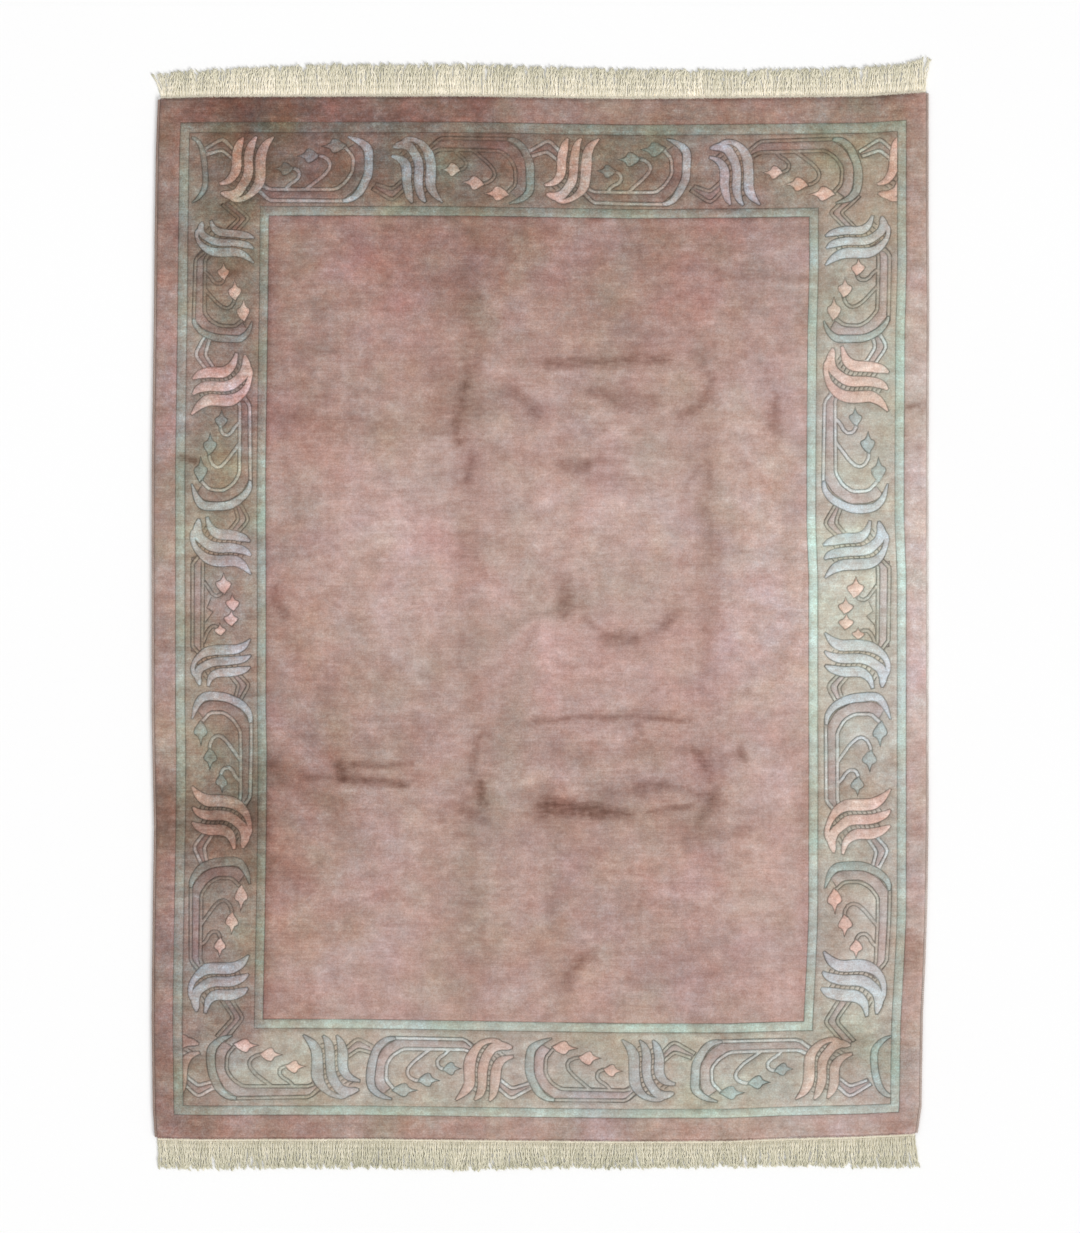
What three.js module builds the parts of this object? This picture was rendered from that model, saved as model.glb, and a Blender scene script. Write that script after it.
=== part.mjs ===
// A hand-knotted wool rug lying flat: one thick pile cloth with an overcast cord down each side and a
// cotton fringe on a narrow woven strip at each end.
// Millimetres, +Z up. X runs across the rug, +Y towards its top end, and the underside is at z = 0.

import * as THREE from 'three';

// Driving dimensions
const PILE_WIDTH = 1982;
const PILE_LENGTH = 2680;
const PILE_THICKNESS = 13; // foundation and pile together
const PIECE_GAP = 0.3; // between neighbouring pieces

// The border's stripes from each edge inwards: plain band, outer guard, ground, inner guard
const BORDER = {
  left: { band: 51, outerGuard: 23, ground: 187, innerGuard: 22 },
  right: { band: 51, outerGuard: 23, ground: 204, innerGuard: 23 },
  bottom: { band: 61, outerGuard: 24, ground: 200, innerGuard: 23 },
  top: { band: 65, outerGuard: 26, ground: 188, innerGuard: 25 },
};

// The clipped line along both sides of each guard stripe
const GROOVE_WIDTH = 7;
const GROOVE_DEPTH = 2.5;

// The pile's rim rolls down over its last millimetres
const RIM_ROLL = 12;
const RIM_DROP = 4;

// Lines of the pile's surface grid: a crease gets one of its own unless another is this near
const GRID_NEAR = 14;
const GRID_STEP = 240; // largest distance between two lines
const SAME_PLACE = 0.01;

// How far the cloth's edges stand outside the true rectangle, at stations along each edge
const SIDE_EDGES = [
  // y, left, right
  { at: -PILE_LENGTH / 2, left: -5, right: -28 },
  { at: -1265, left: 0, right: -18 },
  { at: -1040, left: 3, right: -15 },
  { at: -900, left: 2, right: -8 },
  { at: -750, left: 0, right: -3 },
  { at: -540, left: -3, right: 0 },
  { at: -240, left: 3, right: 0 },
  { at: 380, left: 3, right: 0 },
  { at: 790, left: -3, right: 2 },
  { at: 1000, left: -5, right: 0 },
  { at: 1210, left: -8, right: 0 },
  { at: PILE_LENGTH / 2, left: -13, right: 0 },
];
const END_EDGES = [
  // x, bottom, top
  { at: -PILE_WIDTH / 2, bottom: -5, top: -8 },
  { at: -870, bottom: -2, top: 0 },
  { at: -440, bottom: -3, top: 2 },
  { at: -200, bottom: 0, top: 3 },
  { at: 0, bottom: 2, top: 0 },
  { at: 235, bottom: 4, top: -3 },
  { at: 500, bottom: 3, top: 0 },
  { at: 640, bottom: -3, top: 2 },
  { at: 840, bottom: -8, top: 5 },
  { at: PILE_WIDTH / 2, bottom: -15, top: 16 },
];

// Old fold lines and wrinkles: soft ridges (rise above zero) and troughs in the pile's surface
const CREASES = [
  { x0: -186, y0: 1300, x1: -195, y1: 640, width: 34, rise: -1.2 },
  { x0: -200, y0: 620, x1: -196, y1: 420, width: 30, rise: -2.4 },
  { x0: -160, y0: 600, x1: -158, y1: 430, width: 26, rise: 1.6 },
  { x0: -190, y0: 400, x1: -165, y1: -270, width: 40, rise: -1.0 },
  { x0: -164, y0: -290, x1: -160, y1: -500, width: 30, rise: -2.4 },
  { x0: -180, y0: -520, x1: -186, y1: -1250, width: 40, rise: -0.8 },
  { x0: 425, y0: 705, x1: 428, y1: 540, width: 30, rise: 1.8 },
  { x0: 405, y0: 360, x1: 412, y1: -80, width: 40, rise: -0.8 },
  { x0: 452, y0: -330, x1: 410, y1: -515, width: 32, rise: 2.0 },
  { x0: 15, y0: 668, x1: 365, y1: 668, width: 30, rise: -1.8 },
  { x0: 60, y0: 395, x1: 300, y1: 395, width: 26, rise: -1.2 },
  { x0: 0, y0: -262, x1: 365, y1: -268, width: 24, rise: 1.0 },
  { x0: 0, y0: -488, x1: 410, y1: -494, width: 28, rise: -2.4 },
  { x0: 20, y0: -448, x1: 400, y1: -452, width: 28, rise: 1.8 },
  { x0: -530, y0: -398, x1: -325, y1: -405, width: 30, rise: -1.8 },
  { x0: 90, y0: -24, x1: 260, y1: -24, width: 34, rise: -1.6 },
  { x0: -950, y0: -525, x1: -700, y1: -525, width: 80, rise: 1.4 },
];

// Side cords
const CORD_WIDTH = 9;
const CORD_HEIGHT = 9;
const CORD_SIDES = 8;

// End strips and fringe
const STRIP_WIDTH = 8;
const STRIP_HEIGHT = 4;
const STRANDS = 150; // at each end
const STRAND_SHARE = 0.66; // of the pitch, at the root
const STRAND_SECTIONS = [
  // along the strand, width against the root's, height, share of the strand's sway
  { along: 0.5, width: 0.92, height: 6, sway: 0.6 },
  { along: 1, width: 0.7, height: 4, sway: 1 },
];
const STRAND_TOP = 0.8; // width of a strand's upper side against its underside
const SWAY = 2.4; // largest sideways wander of one strand
const UNEVEN = 6; // largest difference of one strand from its neighbours' length

// Reach of the fringe beyond the pile and its lean across the rug, at stations along each end
const FRINGE_ENDS = [
  // x, reach and lean at the bottom, reach and lean at the top
  { at: -PILE_WIDTH / 2, bottom: 74, bottomLean: 6, top: 66, topLean: -17 },
  { at: -940, bottom: 74, bottomLean: 3, top: 76, topLean: -3 },
  { at: -860, bottom: 72, bottomLean: 0, top: 75, topLean: 2 },
  { at: -560, bottom: 74, bottomLean: 2, top: 87, topLean: 0 },
  { at: -170, bottom: 84, bottomLean: -2, top: 84, topLean: 2 },
  { at: 0, bottom: 77, bottomLean: 0, top: 82, topLean: -1 },
  { at: 480, bottom: 74, bottomLean: 2, top: 74, topLean: 2 },
  { at: 740, bottom: 76, bottomLean: 0, top: 74, topLean: 0 },
  { at: 920, bottom: 80, bottomLean: 0, top: 77, topLean: 1 },
  { at: PILE_WIDTH / 2, bottom: 80, bottomLean: -4, top: 90, topLean: 0 },
];

// Colours and finishes
const wool = { roughness: 0.95, metalness: 0 };
const MAUVE_WOOL = new THREE.MeshStandardMaterial({ color: 0xc0a59d, ...wool });
const CORD_WOOL = new THREE.MeshStandardMaterial({ color: 0xa39489, ...wool });
const COTTON = new THREE.MeshStandardMaterial({ color: 0xdcd5bc, ...wool });

// The value of a column at a place, straight between the two stations around it
function between(table, at, column) {
  let k = 1;
  while (k < table.length - 1 && table[k].at < at) k += 1;
  const [a, b] = [table[k - 1], table[k]];
  return THREE.MathUtils.mapLinear(at, a.at, b.at, a[column], b[column]);
}

// Where a point of the true rectangle lies on the real, slightly crooked cloth
function onCloth(x, y) {
  const across = x / PILE_WIDTH + 0.5;
  const along = y / PILE_LENGTH + 0.5;
  return {
    x: x + THREE.MathUtils.lerp(-between(SIDE_EDGES, y, 'left'), between(SIDE_EDGES, y, 'right'), across),
    y: y + THREE.MathUtils.lerp(-between(END_EDGES, x, 'bottom'), between(END_EDGES, x, 'top'), along),
  };
}

// A closed shell gathered from points, quads and triangles that face outwards
class Shell {
  points = [];
  triangles = [];

  point(x, y, z) {
    this.points.push(x, y, z);
    return this.points.length / 3 - 1;
  }

  triangle(a, b, c) {
    this.triangles.push(a, b, c);
  }

  quad(a, b, c, d) {
    this.triangle(a, b, c);
    this.triangle(a, c, d);
  }

  // A wall between two rings of equal length, the second further along
  wall(from, to) {
    from.forEach((corner, k) => {
      const next = (k + 1) % from.length;
      this.quad(corner, from[next], to[next], to[k]);
    });
  }

  fan(ring) {
    for (let k = 1; k < ring.length - 1; k += 1) this.triangle(ring[0], ring[k], ring[k + 1]);
  }

  mesh(name, material) {
    const geometry = new THREE.BufferGeometry();
    geometry.setAttribute('position', new THREE.Float32BufferAttribute(this.points, 3));
    geometry.setIndex(this.triangles);
    geometry.computeVertexNormals();
    const mesh = new THREE.Mesh(geometry, material);
    mesh.name = name;
    return mesh;
  }
}

// Distances of a side's four clipped lines from the cloth's edge
function lineDistances({ band, outerGuard, ground, innerGuard }) {
  const distances = [band, band + outerGuard];
  distances.push(distances[1] + ground);
  distances.push(distances[2] + innerGuard);
  return distances;
}

const LINES = Object.fromEntries(Object.keys(BORDER).map((side) => [side, lineDistances(BORDER[side])]));

// Grid positions across or along the pile: its rim, both sides and the bed of each clipped line, the
// stations of its crooked edges, its creases, and a few plain ones where these leave it wide
function gridPositions(length, lowSide, highSide, edgeStations, creasePlaces) {
  const half = length / 2;
  const places = [0, RIM_ROLL / 3, RIM_ROLL].flatMap((d) => [d - half, half - d]);
  for (const offset of [-GROOVE_WIDTH / 2, 0, GROOVE_WIDTH / 2]) {
    places.push(...LINES[lowSide].map((d) => d + offset - half));
    places.push(...LINES[highSide].map((d) => half - d + offset));
  }
  places.push(...edgeStations.slice(1, -1));
  for (const place of creasePlaces) {
    if (!places.some((other) => Math.abs(other - place) < GRID_NEAR)) places.push(place);
  }
  places.sort((a, b) => a - b);
  return places.flatMap((place, k) => {
    if (k === 0) return [place];
    const from = places[k - 1];
    const count = Math.ceil((place - from) / GRID_STEP);
    return Array.from({ length: count }, (_, i) => from + ((place - from) * (i + 1)) / count);
  });
}

// Whether a point is on the bed of one of the four clipped rectangles
function onClippedLine(x, y) {
  return [0, 1, 2, 3].some((k) => {
    const left = -PILE_WIDTH / 2 + LINES.left[k];
    const right = PILE_WIDTH / 2 - LINES.right[k];
    const bottom = -PILE_LENGTH / 2 + LINES.bottom[k];
    const top = PILE_LENGTH / 2 - LINES.top[k];
    const same = (a, b) => Math.abs(a - b) < SAME_PLACE;
    const inside = (value, low, high) => value > low - SAME_PLACE && value < high + SAME_PLACE;
    return (
      ((same(x, left) || same(x, right)) && inside(y, bottom, top)) ||
      ((same(y, bottom) || same(y, top)) && inside(x, left, right))
    );
  });
}

// The rise or fall of all the creases at a point
function creaseHeight(x, y) {
  return CREASES.reduce((sum, { x0, y0, x1, y1, width, rise }) => {
    const [dx, dy] = [x1 - x0, y1 - y0];
    const along = THREE.MathUtils.clamp(((x - x0) * dx + (y - y0) * dy) / (dx * dx + dy * dy), 0, 1);
    const away = Math.hypot(x - x0 - along * dx, y - y0 - along * dy);
    return sum + rise * Math.exp(-((away / width) ** 2));
  }, 0);
}

function pileHeight(x, y) {
  const edge = Math.min(PILE_WIDTH / 2 - Math.abs(x), PILE_LENGTH / 2 - Math.abs(y));
  const roll = 1 - Math.min(edge / RIM_ROLL, 1);
  const clipped = onClippedLine(x, y) ? GROOVE_DEPTH : 0;
  return PILE_THICKNESS - RIM_DROP * roll * roll - clipped + (edge > RIM_ROLL ? creaseHeight(x, y) : 0);
}

// The knotted cloth: a grid for its surface, a wall round it and a flat underside
function rugPile() {
  const shell = new Shell();
  const upright = CREASES.filter((c) => Math.abs(c.y1 - c.y0) > Math.abs(c.x1 - c.x0));
  const level = CREASES.filter((c) => !upright.includes(c));
  const stations = (table) => table.map((station) => station.at);
  const columns = gridPositions(PILE_WIDTH, 'left', 'right', stations(END_EDGES), upright.map((c) => c.x0));
  const rows = gridPositions(PILE_LENGTH, 'bottom', 'top', stations(SIDE_EDGES), level.map((c) => c.y0));
  const surface = rows.map((y) =>
    columns.map((x) => {
      const place = onCloth(x, y);
      return shell.point(place.x, place.y, pileHeight(x, y));
    }),
  );
  for (let j = 1; j < rows.length; j += 1) {
    for (let i = 1; i < columns.length; i += 1) {
      shell.quad(surface[j - 1][i - 1], surface[j - 1][i], surface[j][i], surface[j][i - 1]);
    }
  }
  const lastRow = rows.length - 1;
  const lastColumn = columns.length - 1;
  // Round the cloth from its bottom left corner, against the clock
  const rim = [
    ...surface[0].slice(0, lastColumn),
    ...surface.slice(0, lastRow).map((row) => row[lastColumn]),
    ...surface[lastRow].slice(1).reverse(),
    ...surface.slice(1).map((row) => row[0]).reverse(),
  ];
  const foot = rim.map((k) => shell.point(shell.points[3 * k], shell.points[3 * k + 1], 0));
  shell.wall(foot, rim);
  const middle = shell.point(0, 0, 0);
  foot.forEach((corner, k) => shell.triangle(foot[(k + 1) % foot.length], corner, middle));
  return shell.mesh('rug_pile', MAUVE_WOOL);
}

// An overcast cord along one side, with a flat underside on the floor
function selvedge(name, side) {
  const shell = new Shell();
  const rings = SIDE_EDGES.map(({ at }) => {
    const edge = onCloth((side * PILE_WIDTH) / 2, at);
    const ring = [];
    for (let k = 0; k < CORD_SIDES; k += 1) {
      const turn = ((k + 0.5) / CORD_SIDES) * 2 * Math.PI - Math.PI / 2;
      const flat = Math.cos(Math.PI / CORD_SIDES);
      const across = (Math.cos(turn) / flat + 1) / 2;
      const up = (Math.sin(turn) / flat + 1) / 2;
      ring.push(shell.point(edge.x + side * (PIECE_GAP + CORD_WIDTH * across), edge.y, CORD_HEIGHT * up));
    }
    return side > 0 ? ring : ring.reverse();
  });
  for (let s = 1; s < rings.length; s += 1) shell.wall(rings[s], rings[s - 1]);
  shell.fan(rings[0]);
  shell.fan([...rings[rings.length - 1]].reverse());
  return shell.mesh(name, CORD_WOOL);
}

// Repeatable wander between -1 and 1, different for every strand and every kind of wander
function wander(strand, kind) {
  const wave = Math.sin(strand * 12.9898 + kind * 78.233) * 43758.5453;
  return 2 * (wave - Math.floor(wave)) - 1;
}

// A woven strip at one end with its strands, which lie level on the floor
function fringe(name, end, side) {
  const shell = new Shell();
  const halfWidth = PILE_WIDTH / 2;
  const pitch = PILE_WIDTH / STRANDS;
  const column = (x, outwards, z) => {
    const edge = onCloth(x, (end * PILE_LENGTH) / 2);
    return shell.point(edge.x, edge.y + end * outwards, z);
  };
  const pair = (x, outwards) => ({
    low: column(x, outwards, 0),
    high: column(x, outwards, STRIP_HEIGHT),
  });
  // Faces are written for the top end, and turned round for the bottom end
  const face = end > 0 ? (...ring) => ring : (...ring) => ring.reverse();
  const quad = (...ring) => shell.quad(...face(...ring));
  const triangle = (...ring) => shell.triangle(...face(...ring));

  const inner = END_EDGES.map(({ at }) => ({ x: at, ...pair(at, PIECE_GAP) }));
  const reach = PIECE_GAP + STRIP_WIDTH;
  const outer = [{ x: -halfWidth, ...pair(-halfWidth, reach) }];
  for (let n = 0; n < STRANDS; n += 1) {
    const middle = -halfWidth + (n + 0.5) * pitch;
    const root = [-1, 1].map((s) => {
      const x = middle + (s * STRAND_SHARE * pitch) / 2;
      return { x, ...pair(x, reach) };
    });
    outer.push(...root);
    strand(n, middle, root);
  }
  outer.push({ x: halfWidth, ...pair(halfWidth, reach) });

  const upright = (a, b) => quad(a.low, b.low, b.high, a.high);
  for (let s = 1; s < inner.length; s += 1) upright(inner[s - 1], inner[s]);
  upright(outer[0], inner[0]);
  upright(inner[inner.length - 1], outer[outer.length - 1]);
  // Each step of the strip's outer edge joins the nearer point of its inner edge
  let mine = 0;
  for (let k = 1; k < outer.length; k += 1) {
    const [from, to] = [outer[k - 1], outer[k]];
    const strandRoot = k % 2 === 0;
    if (!strandRoot) upright(to, from);
    triangle(inner[mine].high, to.high, from.high);
    triangle(inner[mine].low, from.low, to.low);
    const next = inner[mine + 1];
    if (next && to.x > (inner[mine].x + next.x) / 2) {
      triangle(inner[mine].high, next.high, to.high);
      triangle(inner[mine].low, to.low, next.low);
      mine += 1;
    }
  }

  function strand(number, middle, root) {
    const along = between(FRINGE_ENDS, middle, side) + UNEVEN * wander(number, end) - reach;
    const lean = between(FRINGE_ENDS, middle, `${side}Lean`);
    const sway = STRAND_SECTIONS.map((_, k) => SWAY * wander(number, end * (k + 2)));
    let ring = [root[0].low, root[1].low, root[1].high, root[0].high];
    STRAND_SECTIONS.forEach((section, k) => {
      const half = (STRAND_SHARE * pitch * section.width) / 2;
      const aside = lean * section.along ** 2 + sway[k] * section.sway;
      const out = reach + along * section.along;
      const next = [
        column(middle - half, out, 0),
        column(middle + half, out, 0),
        column(middle + half * STRAND_TOP, out, section.height),
        column(middle - half * STRAND_TOP, out, section.height),
      ];
      next.forEach((p) => {
        shell.points[3 * p] += aside;
      });
      ring.forEach((corner, i) => {
        const after = (i + 1) % ring.length;
        quad(ring[after], corner, next[i], next[after]);
      });
      ring = next;
    });
    quad(...ring.reverse());
  }
  return shell.mesh(name, COTTON);
}

const rug = new THREE.Group();
rug.add(rugPile());
rug.add(selvedge('selvedge_left', -1));
rug.add(selvedge('selvedge_right', 1));
rug.add(fringe('fringe_bottom', -1, 'bottom'));
rug.add(fringe('fringe_top', 1, 'top'));

// The origin is the middle of the whole rug's underside, fringes and cords included
const box = new THREE.Box3().setFromObject(rug);
rug.position.set(-(box.min.x + box.max.x) / 2, -(box.min.y + box.max.y) / 2, 0);

export default rug;
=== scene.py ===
"""A hand-knotted wool rug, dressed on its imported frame: the carved pile with its running vine border,
the overcast side cords, the woven ends and the cotton fringes, laid out on a pale studio floor."""

import math

import bmesh
import bpy
import numpy as np
from bpy.props import FloatProperty, FloatVectorProperty, IntProperty, PointerProperty
from mathutils import Matrix, Vector
from mathutils.geometry import delaunay_2d_cdt


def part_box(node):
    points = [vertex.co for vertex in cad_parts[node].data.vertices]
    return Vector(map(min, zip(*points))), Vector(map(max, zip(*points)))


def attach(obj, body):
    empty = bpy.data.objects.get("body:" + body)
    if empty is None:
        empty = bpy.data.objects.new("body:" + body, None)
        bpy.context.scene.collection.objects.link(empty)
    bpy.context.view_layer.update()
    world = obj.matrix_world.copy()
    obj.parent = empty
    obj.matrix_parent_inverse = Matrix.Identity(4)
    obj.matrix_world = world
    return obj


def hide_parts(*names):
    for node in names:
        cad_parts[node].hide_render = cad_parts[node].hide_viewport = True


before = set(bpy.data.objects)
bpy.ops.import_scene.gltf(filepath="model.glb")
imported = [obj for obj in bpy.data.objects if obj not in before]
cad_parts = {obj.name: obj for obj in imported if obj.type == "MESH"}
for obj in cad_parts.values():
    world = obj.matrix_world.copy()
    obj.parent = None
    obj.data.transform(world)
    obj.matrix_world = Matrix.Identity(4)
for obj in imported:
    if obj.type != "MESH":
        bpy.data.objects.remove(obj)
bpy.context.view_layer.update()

bl_info = {
    "name": "Knotted wool rug",
    "version": (1, 0, 0),
    "blender": (4, 5, 0),
    "location": "3D View > Sidebar > Rug",
    "description": "Makes a carved wool pile rug with side cords and fringes",
    "category": "Add Mesh",
}

# The body that every piece of the rug is attached to
BODY = "root"

# Lengths are in metres, and the tables below in millimetres
MM = 0.001
WIDTH = 1982 * MM
LENGTH = 2680 * MM
THICKNESS = 13 * MM
HALF = np.array((WIDTH, LENGTH)) / 2

# The photo's framing: 1080 pixels of 2.574 mm across, seen from straight above
VIEW_WIDTH = 1080 * 2.574 * MM
CAMERA_HEIGHT = 12
CAMERA_OVER = (-1.3 * MM, -2.6 * MM)
SENSOR = 36  # in mm, as Blender counts it
AIR_LIGHT = 0.56
SUNS = (
    # name, where it shines from, strength, width in degrees
    ("key_light", (4.2, -4.6, 4.2), 1.75, 26),
    ("fill_light", (-4.0, 3.0, 7.0), 0.5, 60),
)
FLOOR_REACH = 12
FLOOR_DROP = 0.2 * MM  # how far it lies under the rug's back

# The border's stripes from each edge inwards, in mm
STRIPES = {
    # side: plain band, outer guard, ground, inner guard
    "left": (55, 24, 186, 22),
    "right": (51, 23, 204, 23),
    "bottom": (61, 24, 200, 23),
    "top": (65, 26, 188, 25),
}
LINES = {side: np.cumsum(widths) * MM for side, widths in STRIPES.items()}
GUARD_LINES = range(4)
GROUND_STRIPE = 2  # number of the guard lines' rectangles that hold the ground

# How far the cloth's edges stand outside the true rectangle, in mm, at stations along each edge
SIDE_EDGES = {
    "at": (-1340, -1265, -1040, -900, -750, -540, -240, 380, 790, 1000, 1210, 1340),
    "left": (-5, 0, 3, 2, 0, -3, 3, 3, -3, -5, -8, -13),
    "right": (-28, -18, -15, -8, -3, 0, 0, 0, 2, 0, 0, 0),
}
END_EDGES = {
    "at": (-991, -870, -440, -200, 0, 235, 500, 640, 840, 991),
    "bottom": (-5, -2, -3, 0, 2, 4, 3, -3, -8, -15),
    "top": (-4, 0, 2, 3, 0, -3, 0, 2, 5, 16),
}

# How far the horizontal stripes stray from true along each side, in mm
STRIPE_STRAY = {
    "at": (-1340, -1255, -1040, -940, 960, 1064, 1275, 1340),
    "left": (-2, -3, -2, 0, 0, -4, -1, -4),
    "right": (-1, -8, -14, 0, 0, -13, -9, -8),
}

# How far the upright stripes stray from true inside the cloth's two side edges, in mm
GUARD_STRAY = {
    "at": (-1085, -800, -545, -350, 100, 230, 740, 900),
    "left": (-7, -6, -5, 0, 0, 0, 0, 0),
    "right": (0, 4, 0, 0, 0, -6, -6, 0),
}
GUARD_STRAY_FADE = 55 * MM  # from the edge to where the stray is whole
GUARD_STRAY_REACH = 670 * MM  # from the rug's middle to the last place where it is whole
GUARD_STRAY_END = 120 * MM  # over which it fades inside that

# The drawn lines' own wandering: how far, and the lengths of its waves
HAND_STRAY = 0.9 * MM
HAND_WAVES = (0.013, 0.047, 0.015, 0.053)
HAND_SLANTS = (0.05, 0.04)

# Reach of the fringe beyond the pile and its lean across the rug, in mm, at stations along each end
FRINGE_ENDS = {
    "at": (-991, -970, -940, -860, -560, -170, 0, 480, 740, 920, 991),
    "bottom": (82, 82, 84, 83, 81, 84, 77, 74, 81, 90, 91),
    "bottom_lean": (6, 4, 3, 0, 2, -2, 0, 2, 0, 0, 4),
    "top": (68, 72, 76, 77, 90, 88, 86, 78, 80, 84, 96),
    "top_lean": (-28, -5, -3, 2, 0, 2, -1, 2, 0, 1, 4),
}

# Old fold lines and wrinkles, in mm: soft ridges (rise above zero) and troughs
CREASES = (
    # x0, y0, x1, y1, width, rise
    (-186, 1300, -195, 640, 34, -1.2),
    (-200, 620, -196, 420, 30, -2.4),
    (-160, 600, -158, 430, 26, 1.6),
    (-190, 400, -165, -270, 40, -1.0),
    (-164, -290, -160, -500, 30, -2.4),
    (-180, -520, -186, -1250, 40, -0.8),
    (425, 705, 428, 540, 30, 1.8),
    (405, 360, 412, -80, 40, -0.8),
    (452, -330, 410, -515, 32, 2.0),
    (15, 668, 365, 668, 30, -1.8),
    (60, 395, 300, 395, 26, -1.2),
    (0, -262, 365, -268, 24, 1.0),
    (0, -488, 410, -494, 28, -2.4),
    (20, -448, 400, -452, 28, 1.8),
    (-530, -398, -325, -405, 30, -1.8),
    (90, -24, 260, -24, 34, -1.6),
    (-950, -525, -700, -525, 80, 1.4),
)

# Painted shade and sheen where the nap lies another way, and along the folds and wrinkles, so that it looks
# darker (tone below zero) or lighter, in mm.
# Each mark bows sideways by its bend and narrows or widens from its first end to its second
PAINTED_NAP_MARKS = (
    # x0, y0, x1, y1, bend, first width, second width, tone
    # The lengthwise fold
    (-176, 1335, -182, 640, 0, 40, 36, -0.14),
    (-182, 640, -182, 100, 0, 34, 38, -0.17),
    (-182, 100, -176, -280, 0, 38, 34, -0.12),
    (-176, -520, -182, -1040, 0, 36, 44, -0.12),
    (-160, 670, -198, 585, 4, 10, 12.5, -0.31),
    (-198, 588, -217, 500, -4, 16, 16, -0.46),
    (-215, 500, -205, 444, 0, 11, 10, -0.42),
    (-176, 413, -181, 356, 2, 11, 11, -0.36),
    (-258, 634, -240, 530, 0, 42, 38, -0.17),
    (-145, 570, -84, 578, -6, 16, 14, -0.20),
    (-90, 584, -12, 528, -8, 14, 17.5, -0.29),
    (-165, 470, -104, 486, 0, 17.5, 15, 0.14),
    (-104, 420, 0, 402, 0, 22.5, 17.5, -0.10),
    (-163, -308, -171, -402, 4, 9, 11, -0.34),
    (-153, -428, -150, -478, 0, 12, 14, -0.58),
    (-194, -488, -146, -524, 4, 21, 22.5, -0.21),
    (-135, -442, -27, -420, 4, 10, 12.5, 0.13),
    # The second fold, to its right
    (430, 700, 440, -600, 0, 30, 30, -0.09),
    (390, 680, 441, 598, -10, 17.5, 15, -0.20),
    (440, 612, 369, 526, -14, 11, 15, -0.36),
    (434, 382, 434, 346, 0, 12.5, 12.5, -0.29),
    (374, 346, 415, 392, 0, 9, 7.5, -0.21),
    (421, 290, 439, 156, 0, 17, 26, -0.18),
    (434, 22, 425, -140, 0, 22.5, 12.5, -0.13),
    # Wrinkles across, above the middle
    (19, 654, 328, 670, 2, 16, 13, -0.42),
    (90, 686, 256, 686, 0, 24, 22.5, -0.13),
    (269, 666, 328, 680, 0, 19, 16, -0.16),
    (-145, 634, 50, 637, 4, 12.5, 12.5, 0.13),
    (50, 632, 385, 624, 0, 11, 12.5, 0.09),
    (133, 583, 287, 557, 4, 15, 22.5, -0.27),
    (161, 567, 235, 542, 0, 17.5, 19, -0.17),
    (58, 393, 115, 395, 0, 17.5, 15, -0.33),
    (128, 399, 218, 405, 0, 13, 7.5, -0.20),
    (153, 362, 241, 359, 0, 14, 12.5, -0.16),
    (246, 480, 282, 470, 0, 17.5, 16, -0.13),
    (12, 305, 338, 292, 0, 30, 28, 0.08),
    (500, 601, 500, 485, 0, 60, 56, 0.09),
    (604, 567, 604, 480, 3, 12.5, 20, -0.35),
    (460, 884, 700, 868, 0, 15, 11, -0.18),
    (520, 845, 700, 850, 0, 11, 11, 0.10),
    (66, 97, 66, 12, 3, 18, 20, -0.38),
    (115, 2, 336, -8, 50, 10, 11, -0.22),
    (170, -52, 238, -54, 0, 20, 19, -0.42),
    (312, -18, 346, 12, 0, 10, 12.5, -0.31),
    # Wrinkles across, below the middle
    (-12, -266, 71, -262, 0, 9, 7.5, -0.35),
    (50, -259, 385, -264, -9, 5.6, 7, -0.34),
    (246, -272, 266, -313, 0, 10, 11, -0.22),
    (-50, -356, 122, -356, 0, 34, 30, -0.12),
    (250, -326, 354, -326, 0, 32, 32, -0.12),
    (12, -485, 153, -494, 0, 22, 20, -0.85),
    (176, -497, 228, -504, 0, 14, 8, -0.55),
    (272, -498, 380, -485, 0, 5.6, 9, -0.40),
    (148, -452, 256, -439, 0, 11, 16, -0.21),
    (256, -436, 313, -431, 0, 17.5, 14, -0.36),
    (313, -431, 385, -441, 0, 11, 9, -0.20),
    (395, -338, 434, -403, -6, 15, 16, -0.36),
    (385, -444, 441, -460, 0, 10, 14, -0.39),
    (444, -454, 405, -519, -8, 17.5, 16, -0.47),
    (12, -405, 385, -390, 0, 20, 20, 0.10),
    (467, -354, 508, -354, 0, 11, 10, -0.20),
    (513, -341, 516, -356, 0, 10, 9, -0.52),
    (369, -552, 534, -550, 0, 16, 15, -0.20),
    (50, -596, 205, -586, 0, 26, 26, -0.08),
    (-517, -382, -512, -418, 0, 14, 14, -0.66),
    (-500, -385, -331, -377, 0, 10, 6, -0.40),
    (-508, -416, -346, -429, 0, 13, 11, -0.46),
    (-619, -413, -526, -413, 0, 7.5, 7.5, -0.29),
    (-619, -454, -526, -488, 0, 28, 28, -0.16),
    (-490, -326, -290, -313, 0, 36, 36, -0.10),
    (-570, -442, -330, -452, 0, 10, 10, 0.13),
    (-690, -380, -662, -412, 0, 16, 20, -0.39),
    (-683, 70, -655, 5, 4, 10, 15, -0.31),
    (-683, -640, -590, -680, 0, 24, 26, -0.25),
    (28, -691, 38, -806, 0, 16, 20, -0.18),
    (140, -864, 76, -946, 14, 12.5, 17.5, -0.36),
    (300, -705, 500, -712, 0, 10, 10, 0.12),
    (-678, 519, -246, 478, 8, 20, 26, -0.16),
    # Marks that reach over the border
    (-975, -455, -760, -475, 0, 30, 34, -0.22),
    (-975, -590, -860, -600, 0, 14, 10, -0.25),
    (-915, 411, -884, 400, 0, 9, 7.5, -0.72),
    (-985, -530, -740, -530, 0, 66, 54, -0.42),
    (938, 530, 995, 530, 0, 6, 7.5, -0.42),
    (960, -870, 960, -890, 0, 45, 45, -0.20),
)
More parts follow.
